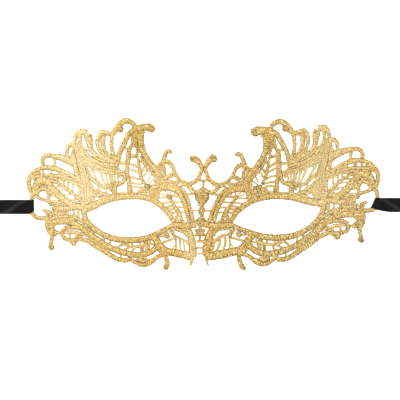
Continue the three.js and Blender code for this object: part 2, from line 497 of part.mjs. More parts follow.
function ribbonGeometry(side, name) {
  const fold = RIBBON_FOLD_U[name];
  const geometry = new THREE.ExtrudeGeometry(ribbonProfile(fold), { depth: RIBBON_WIDTH, bevelEnabled: false });
  const p = geometry.attributes.position;
  for (let i = 0; i < p.count; i += 1) {
    const [out, up, across] = [p.getX(i), p.getY(i), p.getZ(i)];
    const down = side > 0 ? across : RIBBON_WIDTH - across;
    const share = RIBBON_GATHER + (1 - RIBBON_GATHER) * smooth(fold, RIBBON_SEWN_U + 6, out);
    const slant = RIBBON_SLANT[name] * (down / RIBBON_WIDTH) * (1 - smooth(fold, RIBBON_SEWN_U, out));
    p.setXYZ(i, side * (out - slant), RIBBON_TOP_V[name] - down * share, up);
  }
  geometry.deleteAttribute('normal');
  geometry.deleteAttribute('uv');
  return BufferGeometryUtils.mergeVertices(geometry, 1e-4);
}

function mesh(name, geometry, color, roughness, metalness) {
  geometry.computeVertexNormals();
  const piece = new THREE.Mesh(geometry, new THREE.MeshStandardMaterial({ color, roughness, metalness }));
  piece.name = name;
  return piece;
}

const mask = new THREE.Group();
mask.add(
  mesh('lace', laceGeometry(), GOLD_THREAD, 0.45, 0.8),
  mesh('ribbon_left', ribbonGeometry(-1, 'left'), BLACK_SATIN, 0.35, 0),
  mesh('ribbon_right', ribbonGeometry(1, 'right'), BLACK_SATIN, 0.35, 0),
);

export default mask;
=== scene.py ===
"""A gold lace eye mask with two black satin ribbons, laid face up on a white table."""

import logging
import math
from collections.abc import Iterable
from dataclasses import dataclass
from enum import Enum

import bpy
import numpy as np
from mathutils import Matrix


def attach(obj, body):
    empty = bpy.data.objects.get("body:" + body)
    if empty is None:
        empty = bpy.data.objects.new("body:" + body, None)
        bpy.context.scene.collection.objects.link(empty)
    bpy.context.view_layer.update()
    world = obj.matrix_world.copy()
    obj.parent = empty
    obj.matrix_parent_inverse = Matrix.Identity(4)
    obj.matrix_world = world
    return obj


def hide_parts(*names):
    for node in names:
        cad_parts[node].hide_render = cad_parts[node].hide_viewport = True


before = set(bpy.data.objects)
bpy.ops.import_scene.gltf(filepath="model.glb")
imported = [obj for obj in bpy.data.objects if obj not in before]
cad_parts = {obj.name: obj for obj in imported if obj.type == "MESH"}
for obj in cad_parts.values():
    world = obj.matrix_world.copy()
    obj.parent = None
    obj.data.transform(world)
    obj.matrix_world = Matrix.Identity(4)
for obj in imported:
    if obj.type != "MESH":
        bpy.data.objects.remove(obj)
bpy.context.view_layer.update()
LOG = logging.getLogger("lace_mask")
MM = 0.001

Point = tuple[float, float]
Route = tuple[Point, ...]
Spot = tuple[float, float, float]
Colour = tuple[float, float, float]
# Where a change begins and ends, and what is given there if that isn't 0 and 1.
Ease = tuple[float, ...]


class Side(Enum):
    """The half of the mask a strand belongs to, by the sign of x."""

    LEFT = -1
    RIGHT = 1

    @property
    def word(self) -> str:
        """The side as it is said in a piece's name."""
        return self.name.lower()


@dataclass(frozen=True)
class Strand:
    """A stitched strand: widths spread evenly along it and the line it follows, in millimetres.

    u is the distance from the centre line of the face and v the height on it.
    """

    name: str
    widths: tuple[float, ...]
    route: Route


def series(name: str, *threads: tuple[tuple[float, ...], Route]) -> tuple[Strand, ...]:
    """Numbers the strands of a series from 1, from the widths and the route of each."""
    return tuple(Strand(f"{name}_{i}", *thread) for i, thread in enumerate(threads, 1))


@dataclass(frozen=True)
class Knot:
    """A round padded knot: its radius and its middle."""

    name: str
    radius: float
    middle: Point


@dataclass(frozen=True)
class Ladder:
    """A row of fine threads from one rail to another, as the veins of a leaf."""

    name: str
    width: float
    count: int
    first: Route
    second: Route


@dataclass(frozen=True)
class Pull:
    """A place where handling has pulled the right half away from a mirror image of the left one."""

    at: Point
    reach: Point
    by: Point


CORDS: tuple[Strand, ...] = (
    # antennae and crest
    Strand("antenna", (4.9, 4, 2.8, 2.4, 2.5, 2.7, 3.1, 2.8), ((6.3, 24.6), (3.9, 23), (2.1, 20.2),
           (1.3, 17.3), (2.2, 14.2), (3.5, 11), (6, 8.7), (10.2, 6.7))),
    Strand("heart_top", (3, 2.9, 2.4, 2), ((10.4, 6.4), (8.7, 3.6), (6.3, 1.3), (3.6, 1.8), (0, 3.5))),
    Strand("crest_arc", (2, 2.2, 2.4, 3.2), ((10.2, 6.7), (12.4, 8), (16, 9.6), (18, 12), (19.8, 14.8),
           (20.6, 17.7), (22.1, 20.4), (24.4, 22.3), (27, 22.8))),
    Strand("crest_hook", (2.4, 2.6, 2.9, 2.4), ((30.8, 20), (28.3, 22.6), (26.9, 26), (25.8, 28.8),
           (24, 29.9), (22.2, 29))),
    Strand("crest_lobe", (2, 2.3), ((19.8, 14.8), (22.8, 13.3), (25.4, 11.3), (27, 8.9))),
    Strand("crest_post", (2.3, 2.2), ((27.8, 22), (27.1, 16), (26.8, 9.5))),
    # nose, upper part
    Strand("nose_outer", (2.4, 2.4), ((21, 5.6), (17.3, 4.4), (14.4, 2.5), (12.1, -0.6), (10.5, -4),
           (9.1, -8), (7.5, -12), (6.2, -16), (5.4, -19.2))),
    Strand("nose_inner", (6.2, 5, 4.2, 3.6, 3.2, 3, 2.8, 2.6), ((31, 4.6), (25, 4.8), (20, 3.2),
           (16.2, 0.4), (13.8, -4), (11.9, -8), (10.2, -13), (8.4, -19.4))),
    # horn
    Strand("horn_head", (4.2, 4.2, 4.6, 5.4, 5.6), ((48, 45.7), (44, 46.4), (41, 46.8), (38, 46.7),
           (36.5, 46.1))),
    Strand("horn_edge", (5.4, 4.8, 4, 3.9, 4, 4, 3.8, 3.6), ((44, 43), (43.5, 36), (42.1, 30),
           (39.5, 25.4), (37, 21.6), (34, 18.2), (31.9, 14.5), (30.9, 10.5), (30.4, 5))),
    Strand("horn_inner_edge", (1.3, 1.8, 2.4, 2.2, 1.8, 1.2), ((43.3, 27), (42.5, 24), (40.6, 20.4),
           (38, 17), (35.5, 14.6), (33.6, 11.6))),
    Strand("horn_valley", (2.4, 2.4), ((36, 19.8), (32.6, 19.2), (29.6, 20.8))),
    Strand("horn_left", (3.8, 3.6, 3.5, 3.5, 3.4, 2.8), ((47.6, 45.4), (51.4, 42.6), (53.2, 39.5), (55.3, 35),
           (57.3, 31), (58.6, 27.5), (59.3, 23.4))),
    Strand("horn_rib", (1.6, 1.8, 2.6, 3.3, 3.3, 3, 2.8, 2.8, 3, 3), ((49.3, 41), (49.6, 37),
           (50.3, 33.6), (51.8, 30), (52.3, 26), (52.9, 20), (53.2, 15), (52, 10), (51.7, 5),
           (51.3, 0))),
    Strand("horn_midrib", (1.8, 1.4, 1.5, 1.8, 2, 2.2, 2.5, 2.2), ((46.9, 36), (46.4, 31), (46, 27),
           (45.4, 24), (44.7, 19.5), (43.9, 14), (42.8, 10.6), (40.6, 7))),
    Strand("tall_arch", (2.8, 3.2, 4.1, 4.2, 3.5, 2.8, 2.8, 2.6, 2.6, 2.4, 2.3), ((46.8, 45.7),
           (48.4, 48.4), (50.8, 50.3), (54, 51.1), (57.1, 49.8), (60.1, 46.8), (62.7, 43), (64, 37.5),
           (63.7, 30.8), (61.5, 25.8), (59.2, 22))),
    Strand("arch_hook", (4.4, 4.4, 3.6), ((60.2, 47.8), (58.3, 45.8), (56.8, 44.6))),
    # second and third plume
    Strand("plume2", (2.4, 3, 3.9, 2.9, 2.4, 2.3, 2.2), ((62.9, 42.8), (65.6, 42.4), (68.3, 43),
           (71, 42.8), (73.1, 40.1), (74, 36.6), (73.6, 33), (71.8, 29.8), (67, 26.4))),
    Strand("plume2_inner", (2.8, 3.3, 2.2, 2, 2), ((69.8, 41), (69.8, 38), (69.9, 34.2), (68.3, 30.2),
           (65, 27), (61, 23.6))),
    Strand("plume3", (2.4, 2.3, 3, 4, 4.4, 4.6), ((90, 32), (89.9, 38), (88.6, 41.2), (86.6, 43), (84, 43.4),
           (81.4, 42.6))),
    Strand("plume3_drop", (5.4, 5.6, 4.2, 3.4, 2.6, 2.2, 2.1), ((81, 42.2), (80, 38.8), (79.4, 34.6),
           (78.2, 31), (75.6, 28.2), (72, 25.9), (67, 24))),
    Strand("plume3_inner", (2.4, 2.4, 2.8, 2.8, 2.6, 2.6), ((86, 42), (86, 37.6), (85.5, 34),
           (83.5, 30.6), (80.8, 27), (78.4, 24.9), (75, 22.7), (71, 21.1), (66, 20.3), (59.4, 19.9))),
    Strand("trunk_outer", (3, 3.2, 3.6, 3.8, 3.2), ((91.2, 29), (90.4, 25), (89.6, 20), (88.3, 15),
           (86.8, 9.5), (85.8, 5))),
    Strand("fan_rim", (1.4, 1.4, 1.8, 2.6, 2.8, 2.4, 2.2, 2.2), ((83.2, 22.4), (81.7, 18.4),
           (80, 14.6), (78, 10.9), (75.2, 8.3), (72, 6.1), (69, 4.7), (66, 5), (63.4, 6.8))),
    Strand("fan_knot", (4, 3.4, 3, 2.6, 2.2), ((63.4, 6.6), (60.4, 6.9), (57.2, 7.5), (55.2, 9.6),
           (54.7, 13))),
    Strand("fan_post", (3.6, 3.8), ((61.9, 7.2), (61.8, 3), (61.8, -2))),
    Strand("under_fan", (2.3, 2.3), ((81.4, 8.6), (78.9, 6), (76.4, 3.4), (73.4, 1.7), (69, -0.2),
           (64, -1.6))),
    # ears, outer arch and the ring at the temple
    Strand("ear2", (2.1, 2.4, 3.2, 2.8), ((94.9, 26), (95.2, 30.4), (94, 33.6), (90.6, 34.6))),
    Strand("ear2_inner", (1.7, 1.7), ((90.5, 35), (91, 30), (91.4, 25))),
    Strand("ear1", (2.6, 3, 3.2, 4.4, 5.6, 6), ((112, 20), (112.2, 24.4), (109.7, 26.8), (105.4, 26.7),
           (100.4, 25.8), (95.6, 24.3), (90.2, 22.2))),
    Strand("outer_arch", (2.2, 2.6, 3.2, 3.2, 2.8, 3.4, 3.7, 3.5, 3.1, 2.8), ((119.1, -1.4),
           (121.1, 3), (122, 9), (119.5, 14.1), (115.2, 17.3), (110, 18.5), (104, 17.9), (98, 15.7),
           (92, 12.9), (87, 9.4))),
    Strand("inner_arch", (2.4, 2.6, 2.6, 2.2), ((117.6, 11.4), (113.8, 12.9), (108.8, 13),
           (103, 12.7), (97.4, 11.7), (91, 9.8))),
    Strand("ring_outer", (3.4, 4.6, 5.4, 5.6, 5.2, 4.6), ((117.2, -1.2), (117.5, 3), (116, 6.9), (113, 8.6),
           (109.6, 8.6), (107, 7))),
    Strand("ring_mid", (2.6, 3, 3, 2.6), ((116.3, -0.6), (115, 2.3), (112, 3.6), (109.4, 2.8),
           (108, 0))),
    Strand("ring_right", (2.2, 2.1), ((108.8, 4.4), (108, 1.4), (107.9, -1.5), (107.9, -5), (106, -8.4))),
    Strand("ring_low", (2.2, 2.2), ((116.9, -1.3), (113.4, -3.4), (107.7, -5))),
    Strand("side_loop", (2.6, 2.6, 2.4, 2.7, 3.1, 3, 2.6), ((118.4, 0.6), (119.9, -3), (120.2, -8),
           (119.9, -12.6), (116.9, -16.1), (112.6, -17), (109.4, -16.4))),
    Strand("side_tail", (1.6, 2.4, 2.8, 2.6, 2.4), ((112.2, -10.7), (109.6, -12), (107.5, -13),
           (106.6, -14.8), (107.2, -17))),
    # ribs that run from the temple to the eye
    Strand("rib_outer", (4.6, 4.9, 5.2, 5, 4.6, 4, 3.6), ((109.8, 9.6), (106.4, 4.9), (102.9, 1.1),
           (99.3, -2.5), (95.1, -5.7), (89.8, -8.1), (84, -10.4))),
    Strand("rib_inner", (1.9, 2.1, 2.2, 2.2, 2.3), ((108.6, 9.8), (104.6, 8.9), (101.3, 7.4), (98.4, 6),
           (95.4, 3.4), (92.4, 1.2), (89.4, -1.3), (86.6, -3.7), (84.2, -5.8))),
    Strand("rib_cross", (2.8, 3.8, 4.2, 3.2), ((105.2, -9.3), (100, -10.5), (94, -10.1), (88, -8.8),
           (81.5, -8.6))),
    # cheek
    Strand("cheek_edge", (2.8, 2.8, 3, 2.8, 2.6, 2.8), ((109, -17), (109.3, -21), (108.1, -25.3),
           (105.9, -29.2), (106.1, -32.6), (106.2, -36.4))),
    Strand("cheek_lobe", (3.6, 4.2, 4.6, 3), ((107.4, -18.4), (106.4, -23), (104.5, -26.7),
           (101.2, -27.6))),
    Strand("cheek_leaf", (2.2, 2.4, 2.6, 2.4), ((107.4, -18.4), (103.6, -16.8), (98, -15.9),
           (91.6, -16.4), (86.4, -18), (81.6, -20.5))),
    Strand("low_ring", (2.6, 2.6, 2.6, 2.6, 2.4, 2.4), ((80.6, -27.4), (84.4, -24.8), (88, -23.7),
           (92, -23.4), (96, -23.7), (98, -25.5), (98.3, -28.6), (96, -31.6), (91, -32.5), (85.4, -31.8))),
    Strand("low_tip", (5.6, 4, 2.4), ((90.6, -32.4), (90.8, -36.5))),
    # eye rim, cheek bands and scallops
    Strand("brow", (5.2, 5.6, 4.9, 4.5, 4.1, 4, 4, 3.8, 3.5, 3.3), ((84.5, -11.2), (78, -8.9),
           (70, -5.2), (62, -2.8), (54, -1.9), (46, -1.8), (39, -2.9), (33.4, -5.4), (28.6, -9.1),
           (24.4, -13.5), (20.4, -19.4))),
    Strand("eye_rim", (3, 3.6, 4, 4.2, 4.1, 4, 4, 3.8, 3.6), ((19.6, -20.8), (26, -24.5), (32, -27.7),
           (38, -30.4), (45, -32), (54, -32.2), (62, -31.3), (68, -29.2), (74, -25.8), (79.4, -21.2),
           (82.7, -16), (83.6, -9.6))),
    Strand("cheek_band", (3.4, 4, 4.2, 4.1, 4.1, 3.8, 3.8), ((106, -20.2), (98, -19.4), (91, -20.2),
           (84.4, -24.2), (78, -29.1), (72, -33.1), (66.4, -36.7), (60, -39.5), (54, -41.4), (47, -42.6),
           (41, -42.2), (36, -40.3), (32.4, -37))),
    Strand("hem_band", (2.6, 3.2, 3.7, 3.6, 3.2, 3.1, 3), ((86.4, -31.4), (80.4, -33), (75.6, -36.1),
           (69, -40), (65, -42.6), (60, -45.4), (55.4, -46.4), (51.8, -45.9), (49.4, -43.6))),
    Strand("scallop", (2.2, 2.3, 2.6, 2.8, 3.6, 3.4, 2.6, 2.6, 2.6), ((50.4, -45), (48.6, -47.1),
           (45.4, -48.9), (41.6, -49.7), (38.4, -48.6), (35.6, -47), (33.4, -45.1), (31, -43.5),
           (28.6, -42.9), (26, -41.4))),
    Strand("cheek_root", (4.6, 4.8, 5.1, 5.4, 5.4, 5.6), ((35.6, -29.6), (32, -33), (29.2, -37),
           (25, -40), (19.4, -41), (13.4, -42.1), (7.7, -43.2), (4.6, -43.8))),
    Strand("cheek_root_side", (1.6, 3), ((33.2, -31), (32.4, -35.6), (30.6, -39), (28, -41.6))),
    # nose, lower part
    Strand("nose_post", (3.8, 4.8, 5.4, 5.4), ((8.8, -24), (6.9, -28), (5.5, -33), (4.8, -38.6),
           (4.9, -43.6))),
    Strand("nose_band", (4.4, 4.6, 4.6, 4), ((21.4, -21.6), (15, -22.2), (9, -22.2), (2.6, -20.9))),
    Strand("nose_tail", (2.4, 2, 1.5), ((4.4, -42), (5.7, -47.4), (6.5, -50))),
    Strand("nose_rib", (2, 2, 2.4, 3.2, 2.4, 1.8, 1.8), ((22.8, -3.4), (21.2, -6), (19.5, -9),
           (17.6, -11.5), (15.6, -14.6), (14, -17.4), (12, -20.6))),
    Strand("nose_drop", (1.8, 3, 3.6, 2.6), ((25.8, -26.4), (25.3, -28.2), (25, -29.8), (24.6, -31))),
    Strand("nose_net", (2, 2.4, 2.4, 1.6), ((22.9, -25), (20.4, -27.5), (19, -30.4), (19.2, -32.4))),
)

KNOTS: tuple[Knot, ...] = (
    Knot("antenna_knot", 2.8, (6.9, 24.5)),
    Knot("crest_knot", 1, (22.4, 29.2)),
    Knot("horn_knot", 2.9, (36.3, 45.8)),
    Knot("horn_cross_knot", 2.3, (47.1, 37.9)),
    Knot("horn_tie_knot", 1, (47.2, 26)),
    Knot("horn_fan_knot", 2.3, (38.8, 5.3)),
    Knot("arch_knot", 2.6, (58.2, 45.4)),
    Knot("plume2_knot", 2.2, (70.3, 41.5)),
    Knot("plume3_knot", 1.7, (79.4, 40.6)),
    Knot("fan_ring_knot", 2, (62.8, 6.6)),
    Knot("cheek_drop_knot", 2.2, (106.1, -37.2)),
    Knot("cheek_lobe_knot", 1.9, (104, -26.2)),
    Knot("nose_leaf_knot", 1.9, (23.3, -2.2)),
)

FILLS: tuple[Strand, ...] = (
    Strand("bridge_fill", (2.2, 2.2), ((9.6, 5.2), (12, 6.2), (15, 7.1))),
    Strand("brow_root_fill", (4.8, 4.6, 4, 2), ((34, 8.2), (26, 7.8), (21, 7.4), (16.4, 8.4))),
    Strand("valley_fill", (5.4, 5.2, 4.8), ((32.1, 19.4), (31.7, 14), (29.8, 9))),
    Strand("brow_root_low", (8, 5.4), ((33.8, 3.8), (34, 0.6), (34, -4))),
    Strand("horn_fill", (6, 5.4, 3.8), ((45.6, 46), (46.2, 42), (45.4, 37))),
    Strand("horn_chin", (2, 2.2), ((40.4, 43.8), (43.4, 42.9))),
    Strand("horn_gap_fill", (1.9, 1.6), ((48.2, 35.4), (48.5, 32.6))),
    Strand("horn_slit_fill", (1.1, 1.1), ((45.3, 32.4), (44.6, 28.6))),
    Strand("horn_foot_corner", (1.2, 1), ((37.4, 5.8), (34.6, 6.4))),
    Strand("knot_tie_fill", (3, 3.4), ((44, 0.6), (39, 1.2))),
    Strand("crest_lobe_fill", (1.5, 1.8, 1.2), ((24.8, 10.9), (21.8, 12.2), (19.8, 12.9))),
    Strand("trunk_mid", (4, 3.6, 3.6, 4, 4.4, 5, 5.4, 5), ((88.4, 35), (87.6, 29), (86.2, 24), (84.8, 18),
           (83.6, 13.5), (82.8, 8), (82.2, 2), (82, -4.5))),
    Strand("trunk_inner", (2.2, 3, 4, 4), ((79.9, 9.4), (79.6, 5), (79, 0), (78, -4.5))),
    Strand("plume_fill_high", (3, 3.2, 2.6, 1.6), ((83.4, 25.6), (78.6, 22.2), (74, 20.3),
           (70, 19.4))),
    Strand("plume_fill_root", (2.4, 3, 3, 2.4), ((73.4, 28.2), (70, 26.4), (66, 23.9), (61, 22.4))),
    Strand("plume_fill_mid", (1.2, 2, 2), ((67.6, 22.6), (64, 22.3), (60, 21.8))),
    Strand("plume_web_fill", (1.4, 1.6, 1.4), ((76, 25.6), (72, 23.9), (68, 22.4))),
    Strand("temple_slit_fill", (0.8, 1.1, 0.9), ((97.2, -7.9), (101.5, -7), (105.2, -6.7))),
    Strand("plume_fill_low", (1.8, 2.8, 3.4, 3.6, 3.2, 2.8), ((79.2, 20.3), (76.6, 18.5),
           (72, 17.3), (66, 15.9), (60, 15), (55, 14.5))),
    Strand("plume_gap_fill", (2.2, 2.2), ((80.7, 31.8), (79.9, 30.3))),
    Strand("plume_gap_low", (2, 1.6), ((77.2, 27.2), (75.5, 26))),
    Strand("plume_hole_top", (1, 1), ((68, 40.8), (65.3, 40.8))),
    Strand("arch_hook_fill", (1.6, 1.4), ((61.9, 42), (59.9, 43.7))),
    Strand("fan_slit_fill", (1, 1.3), ((80.9, 12.4), (79.8, 9.6))),
    Strand("plume_inner_fill", (2.4, 3, 2.6), ((85, 31.6), (84, 28), (83.2, 25.4))),
    Strand("plume_root_fill", (1.8, 1.8, 1), ((83.6, 23.6), (81.6, 21.4), (80.4, 19))),
    Strand("plume_slit_fill", (1.5, 1.3, 1.1), ((70, 19.9), (66, 18.8), (60.4, 17.6))),
    Strand("fan_fill", (1.8, 1.6), ((59, 12.8), (56.6, 12))),
    Strand("fan_post_fill", (2.2, 1.7), ((65.2, 4.2), (64.9, 1.5))),
    Strand("brow_top_fill", (1.4, 1.6, 1.5), ((61, 0.4), (56, 0.5), (52.4, 0.5))),
    Strand("arch_fill", (3, 3), ((118.9, 10), (118, 13.4), (115.8, 15.6))),
    Strand("arch_gap_fill", (1, 1), ((115, 14.9), (113.4, 15.3))),
    Strand("arch_low_fill", (1.5, 1.6, 1.4), ((101.8, 14.7), (97.5, 13.4), (94, 12.2))),
    Strand("arch_under_fill", (1.2, 1.7, 1.6), ((108.2, 11.3), (104.4, 10.9), (100.6, 9.9))),
    Strand("arch_end_fill", (1.2, 1.2), ((101.4, 9.8), (98.2, 9.3))),
    Strand("ear_root_fill", (1.3, 1.2), ((92.8, 20.2), (91, 18.6))),
    Strand("loop_inner_fill", (1.4, 1.8, 1.6), ((110.3, -12.8), (109.2, -14.6), (108.4, -17))),
    Strand("tail_side_fill", (1.4, 1.5, 1.8), ((105.4, -10.6), (104.9, -13.2), (104, -15.6))),
    Strand("cheek_lobe_top", (1.6, 1.6), ((105.4, -21.4), (102.4, -22.2))),
    Strand("cheek_lobe_foot", (1.6, 1.6), ((105.6, -28.9), (104, -30.2))),
    Strand("rim_slit_fill", (1.3, 1.4, 1), ((84.8, -20.9), (81, -23.8), (77, -27.2))),
    Strand("ring_fill", (2.6, 3, 2.8), ((117, 8.6), (113.6, 10.4), (109.6, 10.4))),
    Strand("ring_eye_fill", (1.2, 1.2), ((113, 5.5), (110, 5.5))),
    Strand("loop_root_fill", (1.8, 1.8), ((118.8, -1.8), (116.8, -2.7))),
    Strand("temple_fill", (2, 2.8, 3.4, 3.6), ((100, 12), (96, 10.4), (92, 9.2), (87, 7.4))),
    Strand("temple_low_fill", (1.2, 1.4, 1.4), ((93, -5.5), (88.6, -5.6), (84, -6.4))),
    Strand("temple_gap_fill", (2.4, 3, 2), ((107, 3), (105.6, 0), (103.6, -2.2))),
    Strand("under_fan_fill", (2.6, 4.2), ((73.6, -0.4), (79, 1))),
    Strand("brow_fill", (3.6, 3.4, 3), ((85, -6.8), (81.2, -5), (79.6, -1.8))),
    Strand("brow_wedge_fill", (1.8, 2.4, 1.3), ((70.6, -0.4), (73.2, -1), (76, -1.9))),
    Strand("fan_corner_fill", (0.9, 0.9), ((76.9, -5.1), (79.2, -5.1))),
    Strand("brow_fill_low", (2.2, 2.8, 2.6), ((73.3, -4), (69, -2.3), (61, -1))),
    Strand("cheek_fill", (2.6, 4, 3.8), ((104, -12.2), (100, -12.8), (95.8, -12.4))),
    Strand("cheek_vein_foot", (1.6, 1.4), ((94.4, -14.2), (88.4, -15.4))),
    Strand("cheek_side_fill", (3, 2.6, 3.4), ((101.8, -13.2), (102.4, -16.6), (104.6, -19.6))),
    Strand("cheek_fill_low", (2.4, 2.4), ((103, -18.4), (96, -17.8), (90, -18.4))),
    Strand("low_ring_fill", (2, 2.4, 3), ((80, -29), (79, -31), (77, -33))),
    Strand("low_ring_floor", (1.6, 1.6), ((87.8, -29.7), (84.2, -30))),
    Strand("low_ring_eye", (1, 1), ((92.8, -31.1), (89.6, -31.1))),
    Strand("cheek_gap_fill", (1.6, 1.5), ((77.4, -32), (71, -36.4), (65.6, -39.6))),
    Strand("scallop_fill", (3.8, 5, 4), ((46.4, -44.3), (43.6, -45.3), (39.8, -45.9))),
    Strand("scallop_end_fill", (1.8, 1.2), ((40, -46), (36.6, -46))),
    Strand("net_fill", (1.3, 1.3), ((42, -36.8), (42, -40.2))),
    Strand("net_top_fill", (1.7, 1.7), ((39.5, -32.8), (39.2, -34.8))),
    Strand("nose_fill", (3, 3.8, 4.4, 4), ((20, -23.6), (14, -24.6), (10, -26.2), (7.6, -29.4))),
    Strand("nose_corner_fill", (1.4, 2.2, 2.4), ((17.6, -14.2), (17.9, -17), (18, -19.8))),
    Strand("nose_corner_low", (1.9, 2), ((18, -19), (12.4, -18.9))),
    Strand("nose_side_fill", (1.2, 1.3, 1.2), ((24.5, -9.8), (22.8, -12.2), (21.1, -14.6))),
    Strand("horn_foot_fill", (1.2, 1.2), ((49.8, 4.8), (49.4, 1.6))),
)

